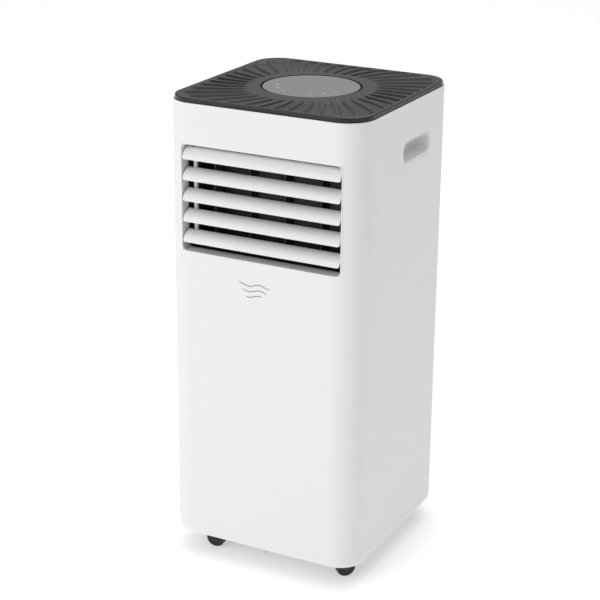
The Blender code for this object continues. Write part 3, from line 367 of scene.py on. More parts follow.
edges = {"from": 0.52, "to": 0.60, "scuffScale": 90.0}  # where pointed edges begin to wear
edgeWear, given, add, calc, give = newTree(
    "edgeWear", "Shader",
    [("Colour", "Color", (0.5, 0.5, 0.5, 1)), ("Worn Colour", "Color", (0.8, 0.8, 0.8, 1)),
     ("Amount", "Float", 0.3), ("Drift", "Float", 0.5), ("Drift Amount", "Float", 0.04)],
    [("Colour", "Color")])
edge = add("MapRange", {"Value": add("NewGeometry", output="Pointiness"), "From Min": edges["from"],
                        "From Max": edges["to"]})
scuff = add("TexNoise", {"Vector": add("TexCoord", output="Object"), "Scale": edges["scuffScale"],
                         "Detail": 5.0})
share = calc("MULTIPLY", calc("MULTIPLY", edge, scuff), given["Amount"], use_clamp=True)
worn = add("Mix", {0: share, 6: given["Colour"], 7: given["Worn Colour"]}, 2, data_type="RGBA")
shade = calc("MULTIPLY_ADD", given["Drift Amount"], -0.5,
             calc("MULTIPLY_ADD", given["Drift"], given["Drift Amount"], 1.0))
give(Colour=add("VectorMath", {0: worn, 3: shade}, operation="SCALE"))

# painted shade: a near-black ring outside a radius about the Z axis, standing in for the shade of the groove round
# the disc
grooveShadeRing, given, add, calc, give = newTree(
    "grooveShadeRing", "Shader",
    [("Inside", "Color", (0.2, 0.2, 0.2, 1)), ("Border", "Color", (0.01, 0.01, 0.01, 1)),
     ("Radius", "Float", 0.067), ("Soft", "Float", 0.0004)], [("Colour", "Color")])
flat = add("VectorMath", {0: add("TexCoord", output="Object"), 1: (1, 1, 0)}, operation="MULTIPLY")
away = add("VectorMath", {0: flat}, "Value", operation="LENGTH")
edge = add("MapRange", {"Value": away, "From Min": given["Radius"],
                        "From Max": calc("ADD", given["Radius"], given["Soft"])})
give(Colour=add("Mix", {0: edge, 6: given["Inside"], 7: given["Border"]}, 2, data_type="RGBA"))


print("stage: materials")
bumpHeight, coatRoughness = 0.1 * mm, 0.05


def finish(name, colour, roughness, group=mouldGrain, metallic=0.0, grain=0.1, grainScale=1800.0,
           wornColour=None, wear=0.0, drift=0.04, spread=0.06, coat=0.0, specular=0.5, stretch=None,
           shadeRingRadius=None):
    material = bpy.data.materials.new(name)
    material.use_nodes = True
    tree = material.node_tree
    pattern = {"Stretch": stretch} if stretch else {"Grain Scale": grainScale}
    surface = addNode(tree, "ShaderNodeGroup",
                      {"Roughness": roughness, "Roughness Spread": spread, **pattern},
                      node_tree=group).outputs
    toned = addNode(tree, "ShaderNodeGroup",
                    {"Colour": (*colour, 1), "Worn Colour": (*(wornColour or colour), 1), "Amount": wear,
                     "Drift Amount": drift, "Drift": surface["Drift"]}, node_tree=edgeWear).outputs["Colour"]
    # painted shade: darkens the disc's outer ring, for the shade of the groove round it
    if shadeRingRadius:
        toned = addNode(tree, "ShaderNodeGroup", {"Radius": shadeRingRadius, "Inside": toned},
                        node_tree=grooveShadeRing).outputs["Colour"]
    bump = addNode(tree, "ShaderNodeBump",
                   {"Strength": grain, "Distance": bumpHeight, "Height": surface["Height"]})
    wire(tree.nodes["Principled BSDF"],
         {"Base Color": toned, "Roughness": surface["Roughness"], "Normal": bump.outputs["Normal"],
          "Metallic": metallic, "Coat Weight": coat, "Coat Roughness": coatRoughness,
          "Specular IOR Level": specular})
    material.diffuse_color = (*colour, 1)
    return material


whitePlastic = finish("whitePlastic", (0.84, 0.84, 0.84), 0.5, grain=0.12, drift=0.012, spread=0.05)
# painted light: the blades and their link are a touch lighter than the white plastic, to offset the shade the
# blades cast on one another
litBladePlastic = finish("litBladePlastic", (0.86, 0.86, 0.86), 0.45, grain=0.12, drift=0.012)
ribbedPlastic = finish("ribbedPlastic", (0.010, 0.010, 0.011), 0.30, grain=0.2, grainScale=2600.0,
                       drift=0.15, wornColour=(0.03, 0.03, 0.033), wear=0.2, specular=0.42)
# the touch disc's own dark glass colour, with a near-black ring of painted shade at its edge for the groove round
# it
discPlastic = finish("discPlastic", (0.22, 0.225, 0.23), 0.14, grain=0.02, drift=0.03, spread=0.03, coat=0.3,
                     shadeRingRadius=66.9 * mm)
blackPlastic = finish("blackPlastic", (0.018, 0.018, 0.020), 0.45, grain=0.3, drift=0.2,
                      wornColour=(0.07, 0.07, 0.07), wear=0.35)
tyrePlastic = finish("tyrePlastic", (0.022, 0.022, 0.023), 0.6, grain=0.5, grainScale=900.0, drift=0.3,
                     wornColour=(0.10, 0.10, 0.10), wear=0.4)
greyPlastic = finish("greyPlastic", (0.20, 0.20, 0.21), 0.5, grain=0.25, drift=0.1,
                     wornColour=(0.30, 0.30, 0.31), wear=0.2)
lightGreyPlastic = finish("lightGreyPlastic", (0.55, 0.55, 0.56), 0.5, grain=0.2, drift=0.06)
rubber = finish("rubber", (0.028, 0.028, 0.028), 0.8, grain=0.6, grainScale=1200.0, drift=0.3, specular=0.3)
boardGreen = finish("boardGreen", (0.02, 0.15, 0.07), 0.35, grain=0.2, grainScale=400.0, drift=0.25, coat=0.4)
enamel = finish("enamel", (0.016, 0.016, 0.017), 0.28, grain=0.3, grainScale=500.0, drift=0.2, coat=0.5,
                wornColour=(0.1, 0.1, 0.1), wear=0.3)
galvanised = finish("galvanised", (0.55, 0.56, 0.57), 0.35, drawnMetal, 1.0, 0.15, drift=0.12, spread=0.25,
                    stretch=(1, 1, 1))
turnedSteel = finish("turnedSteel", (0.6, 0.6, 0.61), 0.28, drawnMetal, 1.0, 0.2, drift=0.1, spread=0.2,
                     stretch=(60, 1, 60))
finAluminium = finish("finAluminium", (0.72, 0.73, 0.75), 0.35, drawnMetal, 1.0, 0.2, drift=0.12,
                      spread=0.2, stretch=(60, 60, 1))
copperTube = finish("copperTube", (0.72, 0.34, 0.20), 0.28, drawnMetal, 1.0, 0.15, drift=0.25, spread=0.25,
                    stretch=(20, 20, 4))
netCloth = finish("netCloth", (0.10, 0.10, 0.11), 0.85, grain=0.8, grainScale=700.0, drift=0.2, specular=0.2)
symbolInk = finish("symbolInk", (0.62, 0.64, 0.66), 0.3, grain=0.02, drift=0.05)
markInk = finish("markInk", (0.30, 0.30, 0.31), 0.4, grain=0.05, drift=0.1)


print("stage: covers")
frontBox, rearBox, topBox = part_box("front_panel"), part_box("rear_shell"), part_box("top_cover")
frontY, rearY, topZ = frontBox[0].y, rearBox[1].y, topBox[1].z
cover = {"cornerRadius": 41 * mm, "cornerSteps": 20, "wall": 2.5 * mm, "edgeRound": 0.6 * mm,
         "rearRound": 0.4 * mm, "lipWall": 2 * mm, "lipDepth": 20 * mm, "tuck": 7 * mm, "tuckAngle": 60,
         "overrun": 6 * mm, "seamGap": 0.3 * mm, "seamFoot": 9 * mm, "seamHead": 3 * mm, "lap": 3 * mm,
         "lapDepth": 0.9 * mm, "rebateWidth": 5 * mm, "tongueWidth": 1.3 * mm, "tongueRoom": 0.1 * mm,
         "bore": 2.4 * mm, "room": 0.4 * mm, "hole": 8 * mm, "plugHole": 8.9 * mm, "collarHole": 71.3 * mm,
         "halfSpan": 160 * mm}
outlet = {"width": 242 * mm, "height": 151 * mm, "corner": 7 * mm, "fromTop": 63.5 * mm, "around": 3 * mm}
grip = {"length": 90 * mm, "height": 32 * mm, "corner": 12 * mm, "middleY": 25 * mm, "fromTop": 74 * mm,
        "cupCorner": 11.7 * mm, "wall": 2 * mm, "mouth": 156 * mm, "pocketRound": 4 * mm}
slot = {"pitch": 18 * mm, "height": 8 * mm, "bar": 8 * mm, "depth": 16 * mm, "foot": 47 * mm,
        "head": 12 * mm}
screw = {"head": ((0, 0.3), (1.6, 0.2), (2.6, -0.1), (3.1, -0.7), (3.1, -2.2), (0, -2.2)),  # in millimetres
         "well": 3.8 * mm, "wellDepth": 2 * mm, "sunk": 1 * mm, "inset": 5 * mm, "turnSpread": 1.5,
         "seed": 4, "heights": (660 * mm, 270 * mm, 46 * mm), "cross": 0.45 * mm,
         "crossReach": 1.9 * mm, "crossDeep": 1.2 * mm}
outletZ = topZ - outlet["fromTop"] - outlet["height"] / 2
gripZ = topZ - grip["fromTop"]


def shellBand(sign, end, low, high):  # the U of one cover, turned in a little along its lower edge
    def side(inset):
        x, y, radius = cadHigh.x - inset, cadHigh.y - inset, cover["cornerRadius"] - inset
        corners = (arcPoints(x - radius, y - radius, radius, 0, 90, cover["cornerSteps"])
                   + arcPoints(radius - x, y - radius, radius, 90, 180, cover["cornerSteps"]))
        return [(x, sign * end)] + corners + [(-x, sign * end)]

    tuck, lowest = cover["tuck"], math.radians(cover["tuckAngle"])
    stations = [(0, high)]
    for a in [math.radians(degrees) for degrees in range(0, cover["tuckAngle"] + 1, 10)]:
        stations.append((tuck * (1 - math.cos(a)), low + tuck * (math.sin(lowest) - math.sin(a))))
    return lofted([[(x, sign * y, z) for x, y in side(inset) + side(inset + cover["wall"])[::-1]]
                   for inset, z in stations])


def seamBoxes(nearY, farY, deep, thick):  # one box each side, along the seam between the two covers
    boxes = []
    for side in (-1, 1):
        x0, x1 = sorted((side * (cadHigh.x - deep), side * (cadHigh.x - deep - thick)))
        boxes.append(boxMesh((x0, nearY, frontBox[0].z + cover["seamFoot"]),
                             (x1, farY, frontBox[1].z - cover["seamHead"])))
    return together(boxes)


def acrossBox(nearY, farY, low, high):  # a cutter that takes in the cabinet's whole width and height
    return boxMesh((-cover["halfSpan"], nearY, low.z - spare), (cover["halfSpan"], farY, high.z + spare))


def makeFrontCover():
    low, high = frontBox
    wall, deep = cover["lipWall"], cover["lipDepth"]
    lip = roundedOutline(outlet["width"] + 2 * wall, outlet["height"] + 2 * wall, outlet["corner"] + wall,
                         0, outletZ)
    hole = roundedOutline(outlet["width"], outlet["height"], outlet["corner"], 0, outletZ)
    shell = carved(shellBand(-1, high.y + cover["overrun"], low.z, high.z),
                   ("+", slab([lip], frontY + cover["wall"] / 2, frontY + deep, "Y")),
                   ("-", slab([hole], frontY - spare, frontY + deep + spare, "Y")))
    shell = softened(shell, cover["edgeRound"], 3, clamp=False)
    bores = []
    for node in louvres:
        ends, pivot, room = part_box(node), pivots[node], cover["room"]
        bores.append(rodMesh((ends[0].x - room, pivot.y, pivot.z), (ends[1].x + room, pivot.y, pivot.z),
                             cover["bore"], 16))
    rebate = seamBoxes(high.y - cover["lap"], high.y + 1 * mm, cover["lapDepth"], cover["rebateWidth"])
    shell = carved(shell, ("-", together(bores)), ("-", acrossBox(high.y, high.y + 0.1, low, high)),
                   ("-", rebate), solver="MANIFOLD")
    shape = shapeOf(shell)
    around = outlet["height"] / 2 + outlet["around"]
    for z in (outletZ - around, outletZ + around):  # rings that keep the corners' shading even by the outlet
        bmesh.ops.bisect_plane(shape, geom=shape.verts[:] + shape.edges[:] + shape.faces[:], dist=1e-6,
                               plane_co=(0, 0, z), plane_no=(0, 0, 1))
    piece("front_cover", toMesh(shape), whitePlastic, "front_panel")


# a grid of cutters for rows of slots, each a bar with round ends
slotGrid, given, add, calc, give = growTree(
    "slotGrid", ("Columns", "Int", 2), ("Rows", "Int", 10), ("Column Pitch", "Float", 0.1),
    ("Row Pitch", "Float", 0.018), ("Slot Length", "Float", 0.1), ("Slot Height", "Float", 0.008),
    ("Slot Depth", "Float", 0.02), ("Middle", "Vector", (0, 0, 0)))
sizeX = calc("MULTIPLY", calc("SUBTRACT", given["Columns"], 1), given["Column Pitch"])
sizeY = calc("MULTIPLY", calc("SUBTRACT", given["Rows"], 1), given["Row Pitch"])
spots = add("MeshGrid", {"Size X": sizeX, "Size Y": sizeY, "Vertices X": given["Columns"],
                         "Vertices Y": given["Rows"]})
bar = add("CurvePrimitiveQuadrilateral", {"Width": given["Slot Length"], "Height": given["Slot Height"]})
rounded = add("FilletCurve", {"Curve": bar, "Count": 6,
                              "Radius": calc("MULTIPLY", given["Slot Height"], 0.5)}, mode="POLY")
filled = add("FillCurve", {"Curve": rounded}, mode="NGONS")
thick = add("ExtrudeMesh", {"Mesh": filled, "Offset Scale": given["Slot Depth"]}, "Mesh")
solid = add("JoinGeometry", {0: [thick, add("FlipFaces", {"Mesh": filled})]})
sealed = add("MergeByDistance", {"Geometry": solid, "Distance": 1e-6})
copies = add("InstanceOnPoints", {"Points": spots, "Instance": sealed})
give(add("Transform", {"Geometry": copies, "Translation": given["Middle"],
                       "Rotation": (math.radians(90), 0, 0)}))


def slotCutters(halfWidth, low, high):
    length = halfWidth - slot["bar"] / 2
    return grown(emptyMesh(), slotGrid, **{
        "Columns": 2, "Rows": int((high - low) / slot["pitch"]), "Column Pitch": length + slot["bar"],
        "Row Pitch": slot["pitch"], "Slot Length": length, "Slot Height": slot["height"],
        "Slot Depth": slot["depth"], "Middle": (0, rearY + slot["depth"] / 2, (low + high) / 2),
        "Material": whitePlastic})


def screwPlaces(y):
    x = cadHigh.x - cover["cornerRadius"] - screw["inset"]
    return [(side * x, y, height) for height in screw["heights"] for side in (-1, 1)]


def makeRearCover():
    low, high = rearBox
    seam = frontBox[1].y + cover["seamGap"]
    filterLow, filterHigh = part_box("filter_frame")
    collarZ = sum(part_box("exhaust_collar"), Vector()).z / 2
    room, inY, outY = cover["room"], rearY - cover["hole"], rearY + spare
    gripHole = roundedOutline(grip["length"], grip["height"], grip["corner"], grip["middleY"], gripZ)
    rounds = []
    for node in ("drain_plug_upper", "drain_plug_lower", "cord_gland"):
        middle = sum(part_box(node), Vector()) / 2
        rounds.append(rodMesh((middle.x, inY, middle.z), (middle.x, outY, middle.z), cover["plugHole"], 40))
    for x, y, z in screwPlaces(rearY):
        rounds.append(rodMesh((x, y - screw["wellDepth"], z), (x, outY, z), screw["well"]))
    slots = slotCutters(filterHigh.x + room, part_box("base_tray")[0].z + slot["foot"],
                        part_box("exhaust_duct")[0].z - slot["head"])
    shell = carved(
        shellBand(1, seam - cover["overrun"], low.z, high.z),
        ("-", slab([gripHole], cadLow.x - spare, cadHigh.x + spare, "X")),
        ("-", boxMesh((filterLow.x - room, inY, filterLow.z - room),
                      (filterHigh.x + room, outY, filterHigh.z + room))),
        ("-", rodMesh((0, inY, collarZ), (0, outY, collarZ), cover["collarHole"], 96)),
        ("-", together(rounds)), ("-", slots))
    tongue = seamBoxes(seam - cover["lap"], seam + 1 * mm, cover["lapDepth"] + cover["tongueRoom"],
                       cover["tongueWidth"])
    shell = carved(softened(shell, cover["rearRound"], clamp=False),
                   ("-", acrossBox(seam - 0.1, seam, low, high)), ("+", tongue), solver="MANIFOLD")
    piece("rear_cover", shell, whitePlastic, "rear_shell")


def makeGrips():
    wall = grip["wall"]
    for node in ("handle_left", "handle_right"):
        low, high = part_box(node)
        side = 1 if low.x > 0 else -1
        long, tall, middle = high.y - low.y, high.z - low.z, (low.y + high.y) / 2
        outer = roundedOutline(long, tall, grip["cupCorner"], middle, gripZ)
        inner = roundedOutline(long - 2 * wall, tall - 2 * wall, grip["cupCorner"] - wall, middle, gripZ)
        inside = sorted((side * grip["mouth"], side * (min(abs(low.x), abs(high.x)) + wall)))
        pocket = softened(slab([inner], *inside, "X"), grip["pocketRound"], 5, 60, False)
        cup = softened(slab([outer], low.x, high.x, "X"), cover["rearRound"], 2, 60, False)
        piece(node + "_cup", carved(cup, ("-", pocket)), whitePlastic, node)


makeFrontCover()
makeRearCover()
makeGrips()


print("stage: top plate")
topPlate = {"ribs": 40, "firstRib": math.radians(1), "curl": math.radians(0.085) / mm, "ringOuter": 82 * mm,
            "pocket": 70.5 * mm, "hole": 66 * mm, "margin": 4.5 * mm, "recessCorner": 50 * mm,
            "outerCorner": 38.5 * mm, "depth": 3.6 * mm, "ribHalf": 0.7 * mm, "flank": 5.5 * mm,
            "innerTaper": 0.22, "outerTaper": 0.06, "edgeRound": 1.6 * mm, "skirt": 6 * mm, "ledge": 1.2 * mm,
            "stations": 26}
ribShares = (0, 0.04, 0.08, 0.12, 0.16, 0.2, 0.25, 0.3, 0.38, 0.5)  # of the pitch, on each side of a rib


def reach(angle, halfX, halfY, radius):  # how far a ray from the middle runs in a rounded rectangle
    near, far = 0, math.hypot(halfX, halfY)
    for _ in range(30):
        middle = (near + far) / 2
        x = max(abs(middle * math.cos(angle)) - halfX + radius, 0)
        y = max(abs(middle * math.sin(angle)) - halfY + radius, 0)
        if math.hypot(x, y) < radius:
            near = middle
        else:
            far = middle
    return near


# sinks the surface between the ribs of the top plate
swirlRibs, given, add, calc, give = growTree(
    "swirlRibs", ("Depth", "Float", 0.003), ("Rib Half Width", "Float", 0.0011), ("Flank", "Float", 0.0036),
    ("Inner Taper", "Float", 0.2), ("Outer Taper", "Float", 0.1))
smooth = {"interpolation_type": "SMOOTHSTEP"}
alongRib = add("InputNamedAttribute", {"Name": "alongRib"})
trough = add("ShaderNodeMapRange",
             {"Value": add("InputNamedAttribute", {"Name": "fromRib"}), "From Min": given["Rib Half Width"],
              "From Max": calc("ADD", given["Rib Half Width"], given["Flank"])}, **smooth)
nearEnd = add("ShaderNodeMapRange", {"Value": alongRib, "From Max": given["Inner Taper"]}, **smooth)
farEnd = add("ShaderNodeMapRange", {"Value": calc("SUBTRACT", 1.0, alongRib),
                                    "From Max": given["Outer Taper"]}, **smooth)
drop = calc("MULTIPLY", calc("MULTIPLY", calc("MULTIPLY", nearEnd, farEnd), trough), given["Depth"])
down = add("ShaderNodeCombineXYZ", {2: calc("MULTIPLY", drop, -1.0)})
give(add("SetPosition", {"Geometry": given["Geometry"], "Offset": down}))


def makeTopPlate():
    p = topPlate
    bottom = topBox[1].z - p["skirt"]
    halfX, halfY = topBox[1].x, topBox[1].y
    pitch = 2 * math.pi / p["ribs"]
    turns = []
    for rib in range(p["ribs"]):
        for part in [-s for s in ribShares[1:-1]][::-1] + list(ribShares):
            turns.append((p["firstRib"] + rib * pitch + part * pitch, abs(part) * pitch))
    ledge, pocket = bottom + p["ledge"], p["pocket"]
    ringStops = [(p["hole"], bottom), (p["hole"], ledge), (pocket, ledge), (pocket, topZ - 0.5 * mm),
                 (pocket + 0.15 * mm, topZ - 0.15 * mm), (pocket + 0.5 * mm, topZ),
                 (p["ringOuter"] - 4 * mm, topZ)]
    rims = [(p["margin"] * 0.5, topZ)]
    for a in [math.radians(degrees) for degrees in (0, 22.5, 45, 67.5, 90)]:
        rims.append((p["edgeRound"] * (1 - math.sin(a)), topZ - p["edgeRound"] * (1 - math.cos(a))))
    rims += [(0, bottom + 0.4 * mm), (0.4 * mm, bottom), (6 * mm, bottom)]

    def grooveLength(angle):
        return reach(angle, halfX - p["margin"], halfY - p["margin"], p["recessCorner"]) - p["ringOuter"]

    shape = bmesh.new()
    fromLayer = shape.verts.layers.float.new("fromRib")
    alongLayer = shape.verts.layers.float.new("alongRib")
    lines = []
    for angle, away in turns:
        line = [(*polar(radius, angle), z, 0, 0) for radius, z in ringStops]
        span = grooveLength(angle)
        for _ in range(3):
            span = grooveLength(angle - p["curl"] * span)
        for along in [i / p["stations"] for i in range(p["stations"] + 1)]:
            radius = p["ringOuter"] + along * span
            line.append((*polar(radius, angle - p["curl"] * along * span), topZ, away * radius, along))
        turn = angle - p["curl"] * span
        line += [(*polar(reach(turn, halfX - inset, halfY - inset, p["outerCorner"] - inset), turn), z, 0, 0)
                 for inset, z in rims]
        lines.append([shape.verts.new(point[:3]) for point in line])
        for vertex, point in zip(lines[-1], line):
            vertex[fromLayer], vertex[alongLayer] = point[3:]
    for line, following in zip(lines, lines[1:] + lines[:1]):
        for i in range(len(line)):
            j = (i + 1) % len(line)
            shape.faces.new((line[i], following[i], following[j], line[j]))
    mesh = grown(temporary(toMesh(shape)), swirlRibs, **{
        "Depth": p["depth"], "Rib Half Width": p["ribHalf"], "Flank": p["flank"],
        "Inner Taper": p["innerTaper"], "Outer Taper": p["outerTaper"], "Material": ribbedPlastic})
    piece("ribbed_top", mesh, ribbedPlastic, "top_cover", angle=50)


makeTopPlate()


print("stage: control disc")
disc = {"round": 0.6 * mm, "gap": 1.2 * mm, "dish": ((0, 0.25), (0.5, 0.2), (0.93, 0.05)),  # share, mm down
        "symbolRing": 48 * mm, "symbolStep": 24.4, "symbolDeep": 0.3 * mm}


def makeDisc():
    low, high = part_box("control_disc")
    rim, top = high.x - disc["gap"], high.z
    profile = [(high.x * share, top - down * mm) for share, down in disc["dish"]]
    for a in [math.radians(degrees) for degrees in (0, 18, 36, 54, 72, 90)]:
        profile.append((rim - disc["round"] * (1 - math.sin(a)), top - disc["round"] * (1 - math.cos(a))))
    mesh = lathe(profile + [(rim, low.z), (0, low.z)], (0, 0, 0), steps=128)
    piece("touch_disc", mesh, discPlastic, "control_disc", angle=50)


def stroke(x0, y0, x1, y1, width):
    turn = math.degrees(math.atan2(y1 - y0, x1 - x0))
    return [arcPoints(x0, y0, width / 2, turn + 90, turn + 270, 5)
            + arcPoints(x1, y1, width / 2, turn - 90, turn + 90, 5)]


def ring(outer, inner):
    return [circlePoints(0, 0, outer, 28), circlePoints(0, 0, inner, 28)]


def makeSymbols():
    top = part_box("control_disc")[1].z
    symbols = [  # in millimetres: fan, drop, frost, dot, clock, moon and switch
        [[circlePoints(0, 0, 0.8, 12)]] + [stroke(*polar(1.5, a), *polar(2.9, a + 0.5), 1.5)
                                           for a in (0.3, 2.4, 4.5)],
        [[[(0, 3.6), *arcPoints(0, -0.8, 2.2, 25, -205, 14)]]],
        [stroke(*polar(-3, math.pi / 2), *polar(3, math.pi / 2), 0.6)]
        + [stroke(*polar(0.9, math.pi * a / 6), *polar(3, math.pi * a / 6), 0.6) for a in (1, 5, 7, 11)],
        [ring(1.5, 1.0)],
        [ring(3.1, 2.5), stroke(0, 0, 0, 1.5, 0.5), stroke(0.7, -0.5, 1.3, -0.9, 0.5)],
        [[arcPoints(0, 0, 3, 60, 300, 20) + arcPoints(1.5, 0, 2.6, 270, 90, 16)]],
        [[arcPoints(0, 0, 3.1, 125, 415, 24) + arcPoints(0, 0, 2.5, 415, 125, 24)],
         stroke(0, 0.6, 0, 3.4, 0.6)],
    ]
    shapes = []
    for index, symbol in enumerate(symbols):
        turn = math.radians(-90 + disc["symbolStep"] * (index - 3))
        place = Matrix.Translation((*polar(disc["symbolRing"], turn), 0))
        for outlines in symbol:
            flat = slab([inMm(outline) for outline in outlines], top - disc["symbolDeep"], top)
            shapes.append(placed(flat, place))
    piece("touch_symbols", together(shapes), symbolInk, slotName="disc_glass")


makeDisc()
makeSymbols()


print("stage: louvres")
blade = {"radius": 17.2 * mm, "thickness": 1.8 * mm, "pivotIn": 10.5 * mm, "pivotUp": 9 * mm,
         "pin": 2 * mm, "smallPin": 1 * mm, "linkWidth": 4.5 * mm, "linkX": -110.7 * mm,
         "crankIn": 12 * mm, "crankUp": 1.5 * mm, "cornerRound": 3.2 * mm, "room": 0.45 * mm,
         "endGap": 1.7 * mm, "bow": 0.996, "sag": 1.6 * mm, "first": 175, "last": 90,
         "endTurn": 1.5, "web": 0.7 * mm,
         "cheek": 0.8 * mm, "cheekIn": 2 * mm, "pinStart": 3 * mm}


def bladeArc(pivot, inset, start, end, steps):
    y = pivot.y - blade["pivotIn"] + blade["radius"] * blade["bow"]
    z = pivot.z - blade["pivotUp"] - blade["sag"]
    return arcPoints(y, z, blade["radius"] - inset, start, end, steps)


def bladeMesh(pivot, half):  # a curved blade whose lower front corners are rounded
    r, t, last, more = blade["cornerRound"], blade["thickness"], blade["last"], blade["endTurn"]
    stations = sorted({round(s * (half - r + r * math.sin(math.radians(a))), 7)
                       for a in (0, 15, 30, 45, 60, 75, 90) for s in (-1, 1)})
    sections = []
    for x in stations:
        into = max(abs(x) - (half - r), 0)
        lift = r - math.sqrt(max(r * r - into * into, 0))
        start = blade["first"] - math.degrees(lift / blade["radius"])
        nose = bladeArc(pivot, t / 2, start, start, 1)[0]
        tail = bladeArc(pivot, t / 2, last, last, 1)[0]
        section = (bladeArc(pivot, 0, start - more, last + more, 18)
                   + arcPoints(*tail, t / 2, 90, -90, 6)[1:-1]
                   + bladeArc(pivot, t, last + more, start - more, 18)
                   + arcPoints(*nose, t / 2, start + 180, start + 360, 6)[1:-1])
        sections.append([(x, y, z) for y, z in section])
    return lofted(sections)


def makeLouvres():
    half, web = outlet["width"] / 2 - blade["endGap"], blade["web"]
    linkX, room, width = blade["linkX"], blade["room"], blade["linkWidth"]
    for index, node in enumerate(louvres):
        low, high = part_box(node)
        pivot = pivots[node]
        y, z = pivot.y, pivot.z
        pinY, pinZ = y + blade["crankIn"], z + blade["crankUp"]
        ends, cheeks, webs = [], [], []
        for side in (-1, 1):
            inner = half - blade["pinStart"]
            inner, outer = (low.x, -inner) if side < 0 else (inner, high.x)
            ends.append(rodMesh((inner, y, z), (outer, y, z), blade["pin"]))
            x = side * (half - blade["cheekIn"])
            outline = bladeArc(pivot, blade["thickness"] / 2, 160, 100, 10)
            outline += arcPoints(y + 1.6 * mm, z - 2.6 * mm, 2 * mm, -20, -110, 5)
            cheeks.append(softened(slab([outline], x - blade["cheek"], x + blade["cheek"], "X"), 0.25 * mm))
            x = linkX + side * (width / 2 + room + web)
            outline = [(y, z + 3.5 * mm), (y + 5.5 * mm, z + 6.0 * mm),
                       *arcPoints(pinY, pinZ, 2 * mm, 60, -120, 10)]
            webs.append(slab([outline], x - web, x + web, "X"))
        away = width / 2 + room + web
        cross = rodMesh((linkX - away, pinY, pinZ), (linkX + away, pinY, pinZ), blade["smallPin"], 16)
        notch = boxMesh((linkX - width / 2 - room, y + 3.6 * mm, z),
                        (linkX + width / 2 + room, y + 20 * mm, z + 15 * mm))
        mesh = carved(bladeMesh(pivot, half), ("-", notch), ("+", together(cheeks)), ("+", together(ends)),
                      ("+", together(webs)), ("+", cross), solver="MANIFOLD")
        piece(f"blade_{index + 1}", mesh, litBladePlastic, node)


def makeLink():
    pins = [(pivots[node].y + blade["crankIn"], pivots[node].z + blade["crankUp"]) for node in louvres]
    half, x = blade["linkWidth"] / 2, blade["linkX"]
    outline = arcPoints(*pins[0], half, 0, 180, 14) + arcPoints(*pins[-1], half, 180, 360, 14)
    holes = [circlePoints(*pin, blade["smallPin"] + 0.4 * mm, 20) for pin in pins]
    mesh = softened(slab([outline, *holes], x - half, x + half, "X"), 0.4 * mm, 2)
    piece("blade_link", mesh, litBladePlastic, "louvre_link")


makeLouvres()
makeLink()
for node in ("outlet_duct", "vane_link", "vane_1", "vane_2", "vane_3", "vane_4"):
    refined(node, blackPlastic, 0.35 * mm)
refined("louvre_motor", greyPlastic, 0.6 * mm, 3)


print("stage: rear fittings")
collar = {"bore": 15 * mm, "barHalf": 1.2 * mm, "barFront": 14 * mm, "barBack": 10 * mm, "barHold": 2 * mm,
          "profile": ((8, -0.9), (7.8, -0.4), (7.3, -0.2), (1.4, -0.2), (0.5, -0.5), (0, -1.4), (0, -16),
                      (4, -16), (4, -5.8), (15, -5.8), (15, -2.8), (8, -2.8))}  # mm from bore, rear face
grille = {"corner": 1.2 * mm, "wall": 3 * mm, "face": 2.5 * mm, "side": 6 * mm, "foot": 4 * mm,
          "head": 14 * mm, "round": 0.35 * mm, "tabHalf": 22 * mm, "tabDeep": 1.4 * mm, "tabFoot": 9 * mm,
          "tabHead": 3 * mm, "tabRound": 0.6 * mm}


def makeExhaustCollar():
    low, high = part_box("exhaust_collar")
    z, radius, half = (low.z + high.z) / 2, high.x - collar["bore"], collar["barHalf"]
    profile = [(radius + out, y) for out, y in inMm(collar["profile"])]
    bars = []
    for x in (-radius / 2, 0, radius / 2):
        tall = math.sqrt((radius + collar["barHold"])**2 - x**2)
        bars.append(softened(boxMesh((x - half, rearY - collar["barFront"], z - tall),
                                     (x + half, rearY - collar["barBack"], z + tall)), 0.5 * mm, 3))
    mesh = carved(lathe(profile, (0, rearY, z), "Y", 128), ("+", together(bars)))
    piece("hose_collar", mesh, greyPlastic, "exhaust_collar")


def makeFilter():
    low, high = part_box("filter_frame")
    wall = grille["wall"]
    outline = roundedOutline(high.x - low.x, high.z - low.z, grille["corner"], 0, (low.z + high.z) / 2, 4)
    hollow = boxMesh((low.x + wall, low.y - spare, low.z + wall),
                     (high.x - wall, rearY - grille["face"], high.z - wall))
    slots = slotCutters(high.x - grille["side"], low.z + grille["foot"], high.z - grille["head"])
    tab = softened(boxMesh((-grille["tabHalf"], rearY - grille["tabDeep"], high.z - grille["tabFoot"]),
                           (grille["tabHalf"], rearY + 3 * mm, high.z - grille["tabHead"])),
                   grille["tabRound"])
    mesh = carved(slab([outline], low.y, high.y, "Y"), ("-", hollow), ("-", slots))
    mesh = softened(mesh, grille["round"], clamp=False)
    piece("filter_grille", carved(mesh, ("-", tab)), whitePlastic, "filter_frame")


# a woven net: two crossed layers of flat threads
netLines, given, add, calc, give = growTree(
    "netLines", ("Width", "Float", 0.2), ("Height", "Float", 0.2), ("Thread Pitch", "Float", 0.002),
    ("Thread", "Float", 0.0004), ("Middle", "Vector", (0, 0, 0)))
layers = []
for wide, tall, axis, lift in (("Width", "Height", 0, -0.22 * mm), ("Height", "Width", 2, 0.22 * mm)):
    first = add("ShaderNodeCombineXYZ", {axis: calc("MULTIPLY", given[wide], -0.5), 1: lift})
    line = add("MeshLine", {"Count": calc("DIVIDE", given[wide], given["Thread Pitch"]),
                            "Start Location": first,
                            "Offset": add("ShaderNodeCombineXYZ", {axis: given["Thread Pitch"]})})
    size = add("ShaderNodeCombineXYZ", {axis: given["Thread"], 1: given["Thread"], 2 - axis: given[tall]})
    layers.append(add("InstanceOnPoints", {"Points": line, "Instance": add("MeshCube", {"Size": size})}))
give(add("Transform", {"Geometry": add("JoinGeometry", {0: layers}), "Translation": given["Middle"]}))


